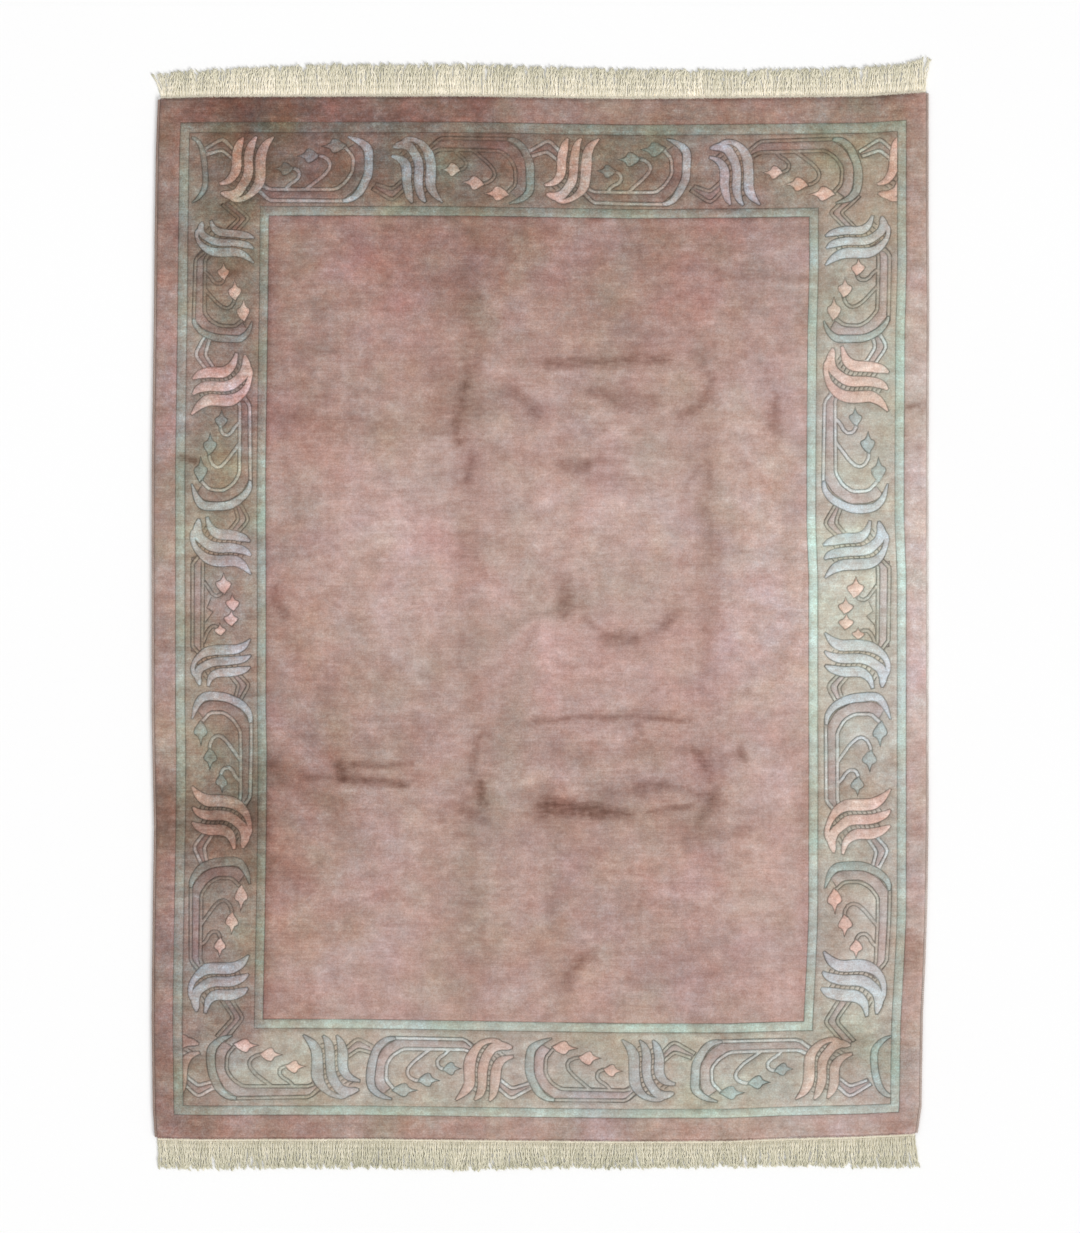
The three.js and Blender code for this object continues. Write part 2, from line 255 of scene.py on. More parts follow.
MARK_DEPTH = 1.15  # times the dark marks' own tones
MARK_HALO = 0.22  # share of a mark's tone that spreads wide
MARK_HALO_REACH = 3  # times the mark's own width
MARK_EDGE = 1.4  # the higher, the harder a mark's edge
MARK_STRAY = 2.4 * MM  # how far the marks wander from their plain shapes
MARK_STRAY_WAVES = (90 * MM, 260 * MM)
MARK_STRAY_SEEDS = (5, 6)
NARROW_MARK = 20  # up to this width in mm, a mark gets its own points
MARK_ROWS = (-1.6, -0.8, 0, 0.8, 1.6)  # of its points, in its widths

# Wide soft patches where the whole cloth looks lighter or darker, in mm
SHADE_PATCHES = (
    # x0, y0, x1, y1, width, tone
    (440, 1225, 760, 1205, 120, 0.30),
    (-90, 1312, 270, 1312, 48, 0.34),
    (-860, 1305, -640, 1305, 60, -0.22),
    (600, -1300, 850, -1290, 60, 0.20),
    (-700, 1180, -350, 1190, 90, -0.12),
    (-830, -720, -800, -1160, 100, 0.20),
    (850, -760, 850, -1000, 60, 0.20),
    (-960, -1290, -640, -1295, 60, -0.17),
    (-740, -1020, -600, -1020, 50, -0.16),
    (0, -1290, 330, -1290, 60, 0.10),
    (-960, 540, -960, -100, 50, -0.09),
    (-940, -740, -940, -1100, 60, -0.12),
    (-745, 1250, -745, 1090, 45, -0.20),
    (-745, 560, -745, 510, 40, -0.18),
    (890, 1190, 960, 1060, 70, -0.12),
    (960, -1085, 960, -1110, 45, -0.20),
    (790, -1070, 790, -1100, 35, -0.15),
    (430, 1312, 800, 1312, 30, 0.12),
    (-745, 1090, -745, 1060, 40, -0.15),
    (100, 980, 260, 860, 80, 0.08),
    (-360, -900, -360, -1050, 90, 0.08),
    (300, -900, 500, -1000, 120, -0.05),
    (-180, -450, 150, -560, 110, 0.03),
    (-520, 330, -330, 60, 150, 0.05),
    (-480, -800, 500, -830, 170, 0.05),
    (560, 330, 560, -700, 90, 0.06),
    (100, 250, 260, 180, 120, 0.05),
)

# Painted light and shade, as the light falls on the nap: how much darker or lighter each side's stripes
# look than the right half of the field
PAINTED_SIDE_SHADES = {
    # side: plain band, outer guard, ground, inner guard, field beside them
    "left": (-0.31, -0.29, -0.58, -0.45, -0.17),
    "right": (0.06, 0.00, 0.02, 0.00, 0.07),
    "bottom": (-0.36, -0.22, -0.12, -0.18, -0.08),
    "top": (-0.85, -0.93, -0.88, -0.65, -0.29),
}
# Painted light and shade along the rug: how the tone changes, at stations in mm, on the two long sides and
# in the open field
PAINTED_LENGTH_SHADES = {
    "at": (-1340, -1000, -780, -600, -430, -320, -150, 80, 320, 480, 640, 800, 980, 1160, 1340),
    "sides": (
        -0.32, -0.20, -0.20, -0.20, -0.22, 0, 0, 0.07, 0.02, -0.06, -0.13, -0.20, -0.28, -0.28, -0.22
    ),
    "field": (
        0, 0, -0.13, -0.10, -0.12, -0.12, -0.04, 0, -0.02, -0.06, -0.11, -0.17, -0.11, -0.10, -0.10
    ),
}
FIELD_FADE = 350 * MM  # over which a side's tone fades into the field
FIELD_BLEND = 40 * MM  # over which the tones along the sides change to the field's
MITRE_BLEND = 60 * MM  # over which two sides' tones meet at a corner

# The border's vine, charted once: mm across the ground from the stem side, and mm along the run
CHART_FITS = {
    # side: from the ground's edge to where the chart begins, and the ground's width on the chart
    "left": (3, 210),
    "right": (3, 210),
    "bottom": (6, 214),
    "top": (-2, 197),
}
CHART_RUN = 430
BAND_FULLNESS = 0.1  # how much less a band narrows than its run does
BUD_FULLNESS = 0.15  # how much less a bud shortens
BLADE_ALONE = (
    # across, along, width
    (63, -1, 8),
    (67, 16, 14),
    (74, 33, 21),
    (87, 46, 26),
    (105, 52, 28),
    (136, 53, 28),
    (158, 57, 25),
    (173, 62, 19),
    (188, 71, 6),
)
BLADE_MIDDLE = (
    (39, 3, 6),
    (37, 16, 17),
    (34, 36, 24),
    (40, 58, 26),
    (54, 72, 26),
    (73, 85, 27),
    (97, 91, 27),
    (136, 92, 26),
    (159, 96, 24),
    (175, 103, 18),
    (188, 114, 6),
)
BLADE_OUTER = (
    (32, 28, 9),
    (24, 46, 16),
    (21, 63, 14),
    (25, 82, 15),
    (35, 101, 19),
    (52, 118, 25),
    (72, 128, 30),
    (98, 131, 31),
    (136, 131, 30),
    (154, 137, 27),
    (170, 149, 20),
    (188, 171, 5),
)
# Short nicks hatch the gap beside a blade, along a part of it given as shares
NICKED = ((BLADE_ALONE, 0.15, 0.9), (BLADE_MIDDLE, 0.35, 0.95))
NICK_BELOW = 5.5  # from the blade's edge to the nicks' middle
NICK_LENGTH = 9
NICK_PITCH = 12
NICK_SLANT = 2.5
STEM_OUTER = ((52, 104), (19, 142), (17, 362))
STEM_INNER = ((66, 108), (48, 140), (48, 326), (67, 355), (94, 373), (135, 373), (162, 347), (162, 332))
SHOOT_NEAR = ((48, 186), (62, 198), (73, 219), (88, 226), (103, 214), (103, 198))
SHOOT_FAR = ((48, 244), (85, 293), (106, 311), (124, 308), (137, 284), (136, 266))
VINE_STRIP = ((60, 106), (33, 142), (33, 335), (55, 368), (90, 389), (140, 389), (166, 372))
VINE_STRIP_WIDTH = 30
BUDS = (
    # across, along, width, height
    (102, 182, 35, 46),
    (135, 249, 38, 54),
    (162, 320, 38, 62),
)
CRESCENT = (
    # across, along, width
    (17, 346, 9),
    (23, 371, 15),
    (42, 394, 20),
    (72, 410, 22),
    (100, 417, 23),
    (147, 417, 22),
    (166, 404, 19),
    (179, 382, 13),
    (188, 356, 4),
)
# Half of a bud's outline: across from its middle and along from its tip, as shares of its size
BUD_OUTLINE = (
    (0, -0.56), (0.09, -0.34), (0.2, -0.2), (0.45, -0.1), (0.5, 0), (0.43, 0.14), (0.22, 0.34), (0.09, 0.5)
)
# Two lines with a strip between them tie a flower to the crescent before it, at a corner in a longer sweep
LINK_OUTER = ((148, -62), (180, 0), (178, 12), (144, 54))
LINK_INNER = ((138, -50), (152, 0), (150, 8), (122, 48))
CORNER_LINK_OUTER = ((118, -84), (172, -16), (172, -8), (138, 42))
CORNER_LINK_INNER = ((96, -70), (143, -16), (143, -8), (110, 40))
LINK_STRIP_WIDTH = 22
# What only the two flowers that face each other have, in the middle of each long side
PAIR_STRIP = (33, 124)
PAIR_STEMS = (((46, 106), (19, 142)), ((62, 112), (48, 140)))
PAIR_BUDS = ((108, 171, 44, 52), (134, 219, 40, 42), (131, 260, 40, 40), (99, 290, 34, 30))
PAIR_SHOOTS = (
    ((52, 166), (62, 180), (78, 202), (95, 202), (104, 192)),
    ((52, 322), (62, 292), (78, 277), (92, 284)),
)
# A small zigzag clipped beside the stems
PAIR_ZIGZAG = ((72, 206), (61, 233), (79, 244), (57, 268))

# The runs of the border, in mm from the rug's middle: y on the left and right, x on the other two
UNITS = (
    # side, kind, flower's far side, crescent's far side, the flower's size along the run
    ("right", "blue", 1035, 701, 0.79),
    ("right", "peach", 691, 261, 0.99),
    ("right", "peach", -614, -200, 0.96),
    ("right", "blue", -1022, -635, 0.91),
    ("left", "blue", 1022, 707, 0.64),
    ("left", "peach", 678, 273, 0.92),
    ("left", "peach", -597, -193, 0.94),
    ("left", "blue", -1016, -618, 0.86),
    ("top", "peach", -831, -436, 0.80),
    ("top", "blue", -389, -19, 0.78),
    ("top", "peach", 9, 384, 0.80),
    ("top", "blue", 431, 827, 0.78),
    ("bottom", "peach", 815, 397, 0.84),
    ("bottom", "blue", 358, -31, 0.82),
    ("bottom", "peach", -63, -442, 0.86),
    ("bottom", "blue", -460, -850, 0.84),
)
PAIRS = (
    # side, kind, upper flower's far side, lower flower's far side, the flowers' sizes along the run
    ("right", "blue", 241, -190, 0.85, 0.85),
    ("left", "blue", 256, -179, 0.85, 0.72),
)
CORNER_FLOWERS = (1035, -1022, 1022, -1016)  # far sides of those beside a corner, on the long sides
LONE_CRESCENTS = (
    # side, kind, the far side of the crescent, size and direction of its run
    ("top", "blue", -862, 0.55),
    ("bottom", "blue", 864, -0.75),
)
CUT_FLOWERS = (
    # side, kind, flower's far side, size and direction of its run
    ("top", "peach", 866, 0.80),
    ("bottom", "peach", -868, -0.85),
)

# Drawn lines: their corners are cut by this much in mm, and by no more than this share of a leg
BEVEL = 6
BEVEL_SHARE = 0.4
SHARPEST_BEND = 0.6  # the cosine past which an offset line's corner is no longer sharpened

# Clipping. The clipped lines are painted darker: partly darker outline wool, partly painted shade in their
# grooves
STEM_LINE = 9 * MM
CLIP_HALF = 2.6 * MM  # from the bed of a clipped line to its shoulder
CLIP_DEPTH = 2.5 * MM
STRIPE_LINE_TONE = 0.7  # how dark the stripes' clipped lines look beside the motifs'
COVER_DEPTH = 1.5 * CLIP_HALF  # inside a motif's outline, where no line below it shows

# The mesh's points
CLEAR_OF_LINES = 6 * MM  # for loose points
LINE_STEP = 16 * MM
LOOSE_STEP = 15 * MM
UNDERSIDE_STEP = 40 * MM
ROW_SHARE = 0.866  # of a step, from row to row of loose points
WELD = 1e-6
FAR = 1.0
TINY = 1e-12

# The pile's rim and the waves of its surface
RIM_ROLL = 12 * MM
RIM_DROP = 4 * MM
RIM_STEPS = (0.33, 0.66, 1.0)
FOUNDATION = 4.2 * MM
RIM_FOOT = (
    # height, distance in from the edge, dye
    (FOUNDATION + MM, 0, "band"),
    (FOUNDATION, 1.2 * MM, "band"),
    (0.6 * MM, 0, "foundation"),
    (0, 0, "foundation"),
)
RIM_WELD = 0.05 * MM
WAVES = (
    # height, shortest and longest wave in mm, seed
    (0.5, 60, 300, 3),
    (0.16, 25, 60, 4),
)
WAVES_ADDED = 14
WAVES_DIVIDED = 4  # their sum by this comes to about their height

# Side cords
CORD_TUCK = 1.4 * MM  # how far the side cord is pressed in under the pile
WRAP_YARN = 0.22  # the yarn's radius and its flattening, as shares of the cord's radius
WRAP_FLAT = 2.5
WRAP_RADII = (0.93, 1.0)
WRAP_SLANT = 14  # degrees, give or take the next
WRAP_SLANT_SPREAD = 4

# Fringes: the strands' sizes in mm, and pairs of a spread and its limit
FRINGE_TONES = {"top": 0.13, "bottom": -0.03}
STRAND_SIDES = 4
STRAND_FLAT = 0.68
STRAND_TWIST = math.radians(50)  # from ring to ring
TUFT = 9  # strands that lean together
TUFT_LEAN = 7
STRAND_LEAN = (4.5, 9)
STRAND_LONGER = (2.2, 4)
STRAND_SHORTER = (4, 9)
STRAND_HOOK = (4, 8)
STRAND_START = 1.5  # how far a strand begins inside the woven end
STRAND_LAYERS = 4
STRAND_LAYER = 1.3
STRAND_LIFT = 0.8  # at most, over its layer
STRAND_RADII = (0.85, 1.15)
STRAND_TAPER = ((0, 0.85, 0.96, 1), (1, 1, 1.2, 0.5))  # places along it, and its thickness there
CRIMPS = (2.8, 5.0)  # small waves along a strand, and how far they reach
CRIMP_REACH = (0.6, 2.0)
SWAYS = (0.6, 1.4)  # wide waves, and how far they reach
SWAY_REACH = 3
HOOK_FROM = 0.7  # the place along a strand where its end begins to curl
STRAND_TONE = (0.04, 0.05)  # added to the fringe's tone, and its spread
TIP_TONE = (0.14, 0.2)  # how much darker the tips are, and its spread
TIP_FADE = 2.5

# Woven ends: heights in mm
WOVEN_ROWS = 6
WOVEN_START = 0.3
WOVEN_SIDE = 2.6
WOVEN_CROWN = 1.1
WOVEN_RELIEF = 0.35
WOVEN_TONE = 0.05

# Tufts over the ends of the pile, in mm
PILE_END_ROWS = (
    # distance in from the edge, foot's height, upward reach
    (0.6, 4.6, 5.0),
    (2.6, 7.0, 5.0),
)
PILE_END_REACH = 3.2
PILE_END_SPREAD = (0.6, 0.7, 0.5)
PILE_END_WIDTH = 0.55  # of a knot
PILE_END_STAGGER = 0.45  # of a tuft, from row to row
PILE_END_SHARE = 0.999  # of the pile's width, up to its corner
# Painted light: the end tufts are lightened against the shade where they lean out over the woven end
PILE_END_PAINTED_LIGHT = 0.18

# Which dye every part of a unit has
UNIT_DYES = {
    "peach": {"flower": "peach", "stem": "pale_line", "bud": "green_bud", "crescent": "pale_crescent"},
    "blue": {"flower": "blue_grey", "stem": "dim_line", "bud": "peach_bud", "crescent": "green_crescent"},
}
# The bottom row has duller wool
SIDE_DYES = {
    ("bottom", "peach"): {"flower": "dull_peach", "crescent": "dull_blue"},
    ("bottom", "blue"): {"flower": "dull_blue"},
}
STRIPE_DYES = ("band", "guard", "ground", "guard", "field")
# How far a dye takes part in the painted light and shade of the sides, where not wholly
PAINTED_SHADE_SHARES = {
    "peach": 0.44,
    "peach_bud": 0.4,
    "blue_grey": 0.66,
    "pale_crescent": 0.6,
    "green_crescent": 0.8,
    "pale_line": 0.7,
    "green_bud": 0.75,
}
DARKENING = (1.0, 1.33, 1.48)  # of red, green and blue: darker wool and painted shade both grow warmer


def linear(*levels):
    """Display levels from 0 to 255 as linear colour."""
    shares = (level / 255 for level in levels)
    return tuple(s / 12.92 if s <= 0.04045 else ((s + 0.055) / 1.055) ** 2.4 for s in shares)


def dyed(name, description, *levels):
    """A colour that the user may change."""
    return FloatVectorProperty(
        name=name, description=description, subtype="COLOR", size=3, min=0, max=1, default=linear(*levels)
    )


def length(name, description, default):
    """A length in millimetres that the user may change, kept in metres."""
    return FloatProperty(name=name, description=description, default=default * MM, min=0, unit="LENGTH")


class RugColours(bpy.types.PropertyGroup):
    """The dyes of the rug's wool and cotton."""

    field: dyed("Field", "Dusty mauve wool of the open field", 188, 159, 150)
    band: dyed("Band", "Mauve wool of the plain outer band", 199, 177, 168)
    ground: dyed("Ground", "Taupe wool behind the vine", 193, 186, 173)
    guard: dyed("Guards", "Sea-green wool of the two guard stripes", 194, 205, 194)
    peach: dyed("Peach flowers", "Wool of the peach flowers", 226, 199, 186)
    blue_grey: dyed("Blue flowers", "Wool of the blue-grey flowers", 203, 206, 206)
    dull_peach: dyed("Dull peach flowers", "Wool of the bottom row's peach flowers", 214, 193, 179)
    dull_blue: dyed("Dull blue flowers", "Wool of the bottom row's blue-grey flowers", 188, 191, 188)
    pale_line: dyed("Pale stems", "Wool of the pale stems", 210, 210, 204)
    dim_line: dyed("Dim stems", "Wool of the dim stems", 188, 183, 171)
    mauve: dyed("Vine strip", "Mauve wool between the stems", 192, 180, 173)
    green_bud: dyed("Green buds", "Wool of the grey-green buds", 184, 192, 186)
    peach_bud: dyed("Peach buds", "Wool of the peach buds", 226, 197, 182)
    pale_crescent: dyed("Pale crescents", "Wool of the pale crescents", 203, 209, 210)
    green_crescent: dyed("Green crescents", "Wool of the grey-green crescents", 182, 189, 181)
    side_cord: dyed("Side cords", "Wool of the overcast side cords", 210, 198, 190)
    foundation: dyed("Foundation", "Cotton of the foundation's cut edge", 205, 196, 172)
    cotton: dyed("Fringe", "Cream cotton of the fringes", 232, 226, 204)
    floor: dyed("Floor", "Pale studio floor", 254, 254, 254)


class RugSizes(bpy.types.PropertyGroup):
    """Sizes of the rug's small parts. Its length, width and thickness come from the frame."""

    knot: length("Knot", "Pitch of the knots in the pile", 3.2)
    strand_pitch: length("Strand pitch", "Distance between two fringe strands", 1.9)
    strand_radius: length("Strand radius", "Half the thickness of a fringe strand", 1.9)
    woven_end: length("Woven end", "Width of the woven strip at each end", 8)
    wrap_pitch: length("Wrap pitch", "Distance between two turns of the overcasting", 4.4)
    cord_radius: length("Cord radius", "Half the thickness of a side cord", 4.5)
    strand_rings: IntProperty(name="Strand rings", description="Sections along a strand", default=20, min=4)


def stations(table, at, column):
    """A column of a table of stations, straight between them, at places in metres."""
    return np.interp(at, np.array(table["at"]) * MM, np.array(table[column]) * MM)


# The true rectangle's middle in the frame
CENTRE = np.array(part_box("rug_pile")[0][:2]) + HALF + MM * np.array(
    (max(SIDE_EDGES["left"]), max(END_EDGES["bottom"]))
)


def on_cloth(points):
    """Points of the true rectangle, moved to where they lie on the slightly crooked cloth."""
    x, y = points[:, 0], points[:, 1]
    across = x / WIDTH + 0.5
    along = y / LENGTH + 0.5
    aside = across * stations(SIDE_EDGES, y, "right") - (1 - across) * stations(SIDE_EDGES, y, "left")
    inner = np.clip((HALF[0] - np.abs(x)) / GUARD_STRAY_FADE, 0, 1)
    inner *= np.clip((np.abs(x) - GUARD_STRAY_REACH) / GUARD_STRAY_END + 1, 0, 1)
    aside += inner * across * stations(GUARD_STRAY, y, "right")
    aside += inner * (1 - across) * stations(GUARD_STRAY, y, "left")
    ahead = along * stations(END_EDGES, x, "top") - (1 - along) * stations(END_EDGES, x, "bottom")
    ahead += across * stations(STRIPE_STRAY, y, "right") + (1 - across) * stations(STRIPE_STRAY, y, "left")
    return np.column_stack((x + aside, y + ahead)) + CENTRE


# Outlines


def smoothed(control, steps=4):
    """A smooth curve through control points of any number of columns."""
    control = np.array(control, float)
    padded = np.vstack((2 * control[0] - control[1], control, 2 * control[-1] - control[-2]))
    share = np.linspace(0, 1, steps, endpoint=False)[:, None]
    curve = []
    for before, a, b, after in zip(padded, padded[1:], padded[2:], padded[3:]):
        rise_a, rise_b = (b - before) / 2, (after - a) / 2
        drop = a - b
        curve.append(a + share * (rise_a + share * (-3 * drop - 2 * rise_a - rise_b
                                                    + share * (2 * drop + rise_a + rise_b))))
    return np.vstack((*curve, control[-1:]))


def bevelled(points):
    """A polyline with each inner corner cut, so that it bends in two steps."""
    points = np.array(points, float)
    out = [points[0]]
    for before, corner, after in zip(points, points[1:], points[2:]):
        for other in (before, after):
            leg = other - corner
            reach = np.linalg.norm(leg)
            out.append(corner + leg * min(BEVEL / reach, BEVEL_SHARE))
    return np.array([*out, points[-1]])


def directions(points, closed):
    """The unit direction at each point, longer where the line bends, so that offsets keep their width."""
    step = np.roll(points, -1, axis=0) - points
    if not closed:
        step[-1] = step[-2]
    step /= np.maximum(np.linalg.norm(step, axis=1), WELD)[:, None]
    before = np.roll(step, 1, axis=0)
    if not closed:
        before[0] = step[0]
    mean = step + before
    mean /= np.maximum(np.linalg.norm(mean, axis=1), WELD)[:, None]
    lean = np.maximum((mean * step).sum(axis=1), SHARPEST_BEND)
    return mean / lean[:, None]


def beside(points, by, closed=True):
    """The points of a line moved sideways to its left, by one distance or by one for each point."""
    along = directions(points, closed)
    return points + np.column_stack((-along[:, 1], along[:, 0])) * np.reshape(by, (-1, 1))


def ribbon(centre, widths):
    """The outline of a band round its centre line."""
    widths = np.broadcast_to(widths, len(centre)) / 2
    return np.vstack((beside(centre, widths, False), beside(centre, -widths, False)[::-1]))


def divided(points, longest, closed=True):
    """A line with its long stretches divided evenly."""
    ends = np.roll(points, -1, axis=0) if closed else points[1:]
    out = []
    for a, b in zip(points, ends):
        count = max(1, math.ceil(np.linalg.norm(b - a) / longest))
        out.extend(a + (b - a) * k / count for k in range(count))
    if not closed:
        out.append(points[-1])
    return np.array(out)


def hand_drawn(points):
    """Points moved a little, as the lines of a hand-knotted pattern wander."""
    x, y = points[:, 0], points[:, 1]
    quick_y, slow_y, quick_x, slow_x = HAND_WAVES
    aside = np.sin(y / quick_y + 2 * x / HAND_SLANTS[0]) + np.sin(y / slow_y)
    ahead = np.sin(x / quick_x + y / HAND_SLANTS[1]) + np.sin(x / slow_x)
    return points + HAND_STRAY * np.column_stack((aside, ahead))


class Motif:
    """Outlines in one dye. They count as one where they overlap, and hide what was drawn before them."""

    def __init__(self, dye, outlines, closed=True):
        self.dye = dye
        self.closed = closed
        self.outlines = [divided(hand_drawn(outline), LINE_STEP, closed) for outline in outlines]
        every = np.vstack(self.outlines)
        self.low = every.min(axis=0)
        self.high = every.max(axis=0)

    def near(self, points):
        """Which points lie in the outlines' box or just outside it."""
        margin = 2 * CLEAR_OF_LINES
        return ((points > self.low - margin) & (points < self.high + margin)).all(axis=1)

    def distance(self, points):
        """The distance of each point to the outlines, below zero inside them."""
        return np.min([self.outline_distance(points, outline) for outline in self.outlines], axis=0)

    def outline_distance(self, points, outline):
        start = outline if self.closed else outline[:-1]
        step = (np.roll(outline, -1, axis=0) if self.closed else outline[1:]) - start
        offset = points[:, None] - start
        along = np.clip((offset * step).sum(-1) / np.maximum((step**2).sum(-1), WELD**2), 0, 1)
        nearest = np.sqrt(((offset - along[..., None] * step) ** 2).sum(-1).min(axis=1))
        if not self.closed:
            return nearest
        above = offset[..., 1] >= 0
        past_end = points[:, None, 1] >= (start + step)[:, 1]
        to_left = step[:, 0] * offset[..., 1] - step[:, 1] * offset[..., 0] > 0
        turns = (above & ~past_end & to_left).sum(axis=1) - (~above & past_end & ~to_left).sum(axis=1)
        return np.where(turns != 0, -nearest, nearest)


# The border's chart, laid along the sides


class Run:
    """Lays the chart on one side of the border, across the ground from one of its edges."""

    def __init__(self, side, kind, start, stretch):
        inner, outer = LINES[side][2], LINES[side][1]
        self.axis = 0 if side in ("left", "right") else 1
        self.sign = 1 if side in ("right", "top") else -1
        self.edge, self.other = (inner, outer) if kind == "peach" else (outer, inner)
        self.fit = CHART_FITS[side]
        self.start = start * MM
        self.stretch = stretch

    def __call__(self, chart):
        chart = np.array(chart, float)
        share = (chart[:, 0] + self.fit[0]) / self.fit[1]
        across = self.sign * (HALF[self.axis] - self.edge - share * (self.other - self.edge))
        along = self.start + chart[:, 1] * MM * self.stretch
        return np.column_stack((across, along) if self.axis == 0 else (along, across))

    def band(self, control):
        """The outline of a charted band whose control points hold its width too."""
        curve = smoothed(control)
        return ribbon(self(curve[:, :2]), curve[:, 2] * MM * min(1, abs(self.stretch) + BAND_FULLNESS))

    def line(self, points, width=STEM_LINE):
        return ribbon(self(bevelled(points)), width)

    def bud(self, across, along, width, height):
        half = np.array(BUD_OUTLINE)
        whole = np.vstack((half, (half * (-1, 1))[-2:0:-1]))
        outline = whole * (width, height * min(1, BUD_FULLNESS + abs(self.stretch)))
        outline[:, 1] /= abs(self.stretch)
        return self(outline + (across, along))

    def nicks(self, blade, first, last):
        """Short strokes in the gap beside a blade."""
        curve = smoothed(blade)
        middle = beside(curve[:, :2], curve[:, 2] / 2 + NICK_BELOW, False)
        reach = np.append(0, np.cumsum(np.linalg.norm(np.diff(middle, axis=0), axis=1)))
        at = np.arange(first * reach[-1], last * reach[-1], NICK_PITCH / abs(self.stretch))
        half = np.array((NICK_SLANT, -NICK_LENGTH / 2))
        places = np.column_stack([np.interp(at, reach, column) for column in middle.T])
        return [self([place + half, place - half]) for place in places]


def dyes_of(side, kind):
    """The dye of each part of a unit on one side."""
    return {**UNIT_DYES[kind], **SIDE_DYES.get((side, kind), {})}


def flower(run, dyes):
    """Three curled blades, two of them joined at the stem, with nicks in the gaps between them."""
    nicks = [nick for part in NICKED for nick in run.nicks(*part)]
    return [
        Motif(None, nicks, closed=False),
        Motif(dyes["flower"], [run.band(BLADE_ALONE)]),
        Motif(dyes["flower"], [run.band(BLADE_MIDDLE), run.band(BLADE_OUTER)]),
    ]


def links(side, kind, start, size):
    """The lines that come to a flower from the crescent before it."""
    run = Run(side, kind, start, size)
    corner = start in CORNER_FLOWERS
    outer, inner = (CORNER_LINK_OUTER, CORNER_LINK_INNER) if corner else (LINK_OUTER, LINK_INNER)
    dyes = dyes_of(side, kind)
    middle = (np.array(outer) + inner) / 2
    return [
        Motif("mauve", [run.line(middle, LINK_STRIP_WIDTH * MM)]),
        *(Motif(dyes["stem"], [run.line(line)]) for line in (outer, inner)),
    ]


def unit(side, kind, start, end, size):
    """A flower with its stems and buds, up to the crescent that closes it."""
    whole = end - start
    run = Run(side, kind, start, whole / CHART_RUN)
    dyes = dyes_of(side, kind)
    return [
        Motif("mauve", [run.line(VINE_STRIP, VINE_STRIP_WIDTH * MM)]),
        Motif(dyes["stem"], [run.line(STEM_OUTER)]),
        Motif(dyes["stem"], [run.line(line) for line in (STEM_INNER, SHOOT_NEAR, SHOOT_FAR)]),
        *(Motif(dyes["bud"], [run.bud(*bud)]) for bud in BUDS),
        Motif(dyes["crescent"], [run.band(CRESCENT)]),
        *flower(Run(side, kind, start, math.copysign(size, whole)), dyes),
    ]


def pair(side, kind, upper, lower, upper_size, lower_size):
    """Two flowers that face each other on shared stems."""
    dyes = dyes_of(side, kind)
    whole = Run(side, kind, upper, -1)
    runs = [Run(side, kind, upper, -upper_size), Run(side, kind, lower, lower_size)]
    strip = np.vstack([run((PAIR_STRIP,)) for run in runs])
    stems = []
    for ends in PAIR_STEMS:
        there, back = (run(ends) for run in runs)
        stems.append(np.vstack((there, back[::-1])))
    return [
        Motif("mauve", [ribbon(strip, VINE_STRIP_WIDTH * MM)]),
        Motif(dyes["stem"], [ribbon(stems[0], STEM_LINE)]),
        Motif(dyes["stem"], [ribbon(stems[1], STEM_LINE), *(whole.line(shoot) for shoot in PAIR_SHOOTS)]),
        Motif(None, [whole(PAIR_ZIGZAG)], closed=False),
        *(Motif(dyes["bud"], [whole.bud(*bud)]) for bud in PAIR_BUDS),
        *(motif for run in runs for motif in flower(run, dyes)),
    ]


def lone_crescent(side, kind, end, size):
    """A crescent at a corner, without the rest of its unit."""
    run = Run(side, kind, end - size * CHART_RUN, size)
    return [Motif(dyes_of(side, kind)["crescent"], [run.band(CRESCENT)])]


def cut_flower(side, kind, start, size):
    """A flower at a corner, of which the guard stripe hides a part."""
    return flower(Run(side, kind, start, size), dyes_of(side, kind))


def border_motifs():
    """Every motif of the border, the lowest first."""
    flowers = [
        (side, kind, start, math.copysign(size, end - start)) for side, kind, start, end, size in UNITS
    ]
    for side, kind, upper, lower, upper_size, lower_size in PAIRS:
        flowers += [(side, kind, upper, -upper_size), (side, kind, lower, lower_size)]
    flowers += CUT_FLOWERS
    makers = ((unit, UNITS), (pair, PAIRS), (lone_crescent, LONE_CRESCENTS), (cut_flower, CUT_FLOWERS))
    return [
        *(motif for row in flowers for motif in links(*row)),
        *(motif for maker, rows in makers for row in rows for motif in maker(*row)),
    ]


# The pile's surface


def guard_rectangle(line):
    """The lowest and highest corner of one of the four clipped rectangles."""
    low = -HALF + (LINES["left"][line], LINES["bottom"][line])
    high = HALF - (LINES["right"][line], LINES["top"][line])
    return low, high


def guard_distances(points):
    """How far each point is outside each clipped rectangle, below zero inside it."""
    distances = []
    for line in GUARD_LINES:
        low, high = guard_rectangle(line)
        distances.append(np.maximum(low - points, points - high).max(axis=1))
    return np.array(distances)


def carved(points, motifs):
    """Each point's dye, and its distances to the nearest clipped line of the motifs and of the stripes."""
    guards = guard_distances(points)
    stripe = (guards < 0).sum(axis=0)
    dyes = np.array(STRIPE_DYES, dtype=object)[stripe]
    lines = np.full(len(points), FAR)
    ground = stripe == GROUND_STRIPE
    for motif in motifs:
        near = np.flatnonzero(ground & motif.near(points))
        if not len(near):
            continue
        signed = motif.distance(points[near])
        inside = signed < 0
        dyes[near[inside]] = motif.dye
        lines[near] = np.where(inside, -signed, np.minimum(lines[near], signed))
    return dyes, lines, np.abs(guards).min(axis=0)


def covered(points, motifs):
    """Which points lie so deep inside a motif that no line below it shows."""
    hidden = np.zeros(len(points), bool)
    for motif in motifs:
        near = np.flatnonzero(motif.near(points) & ~hidden)
        if motif.closed and len(near):
            hidden[near] = motif.distance(points[near]) < -COVER_DEPTH
    return hidden


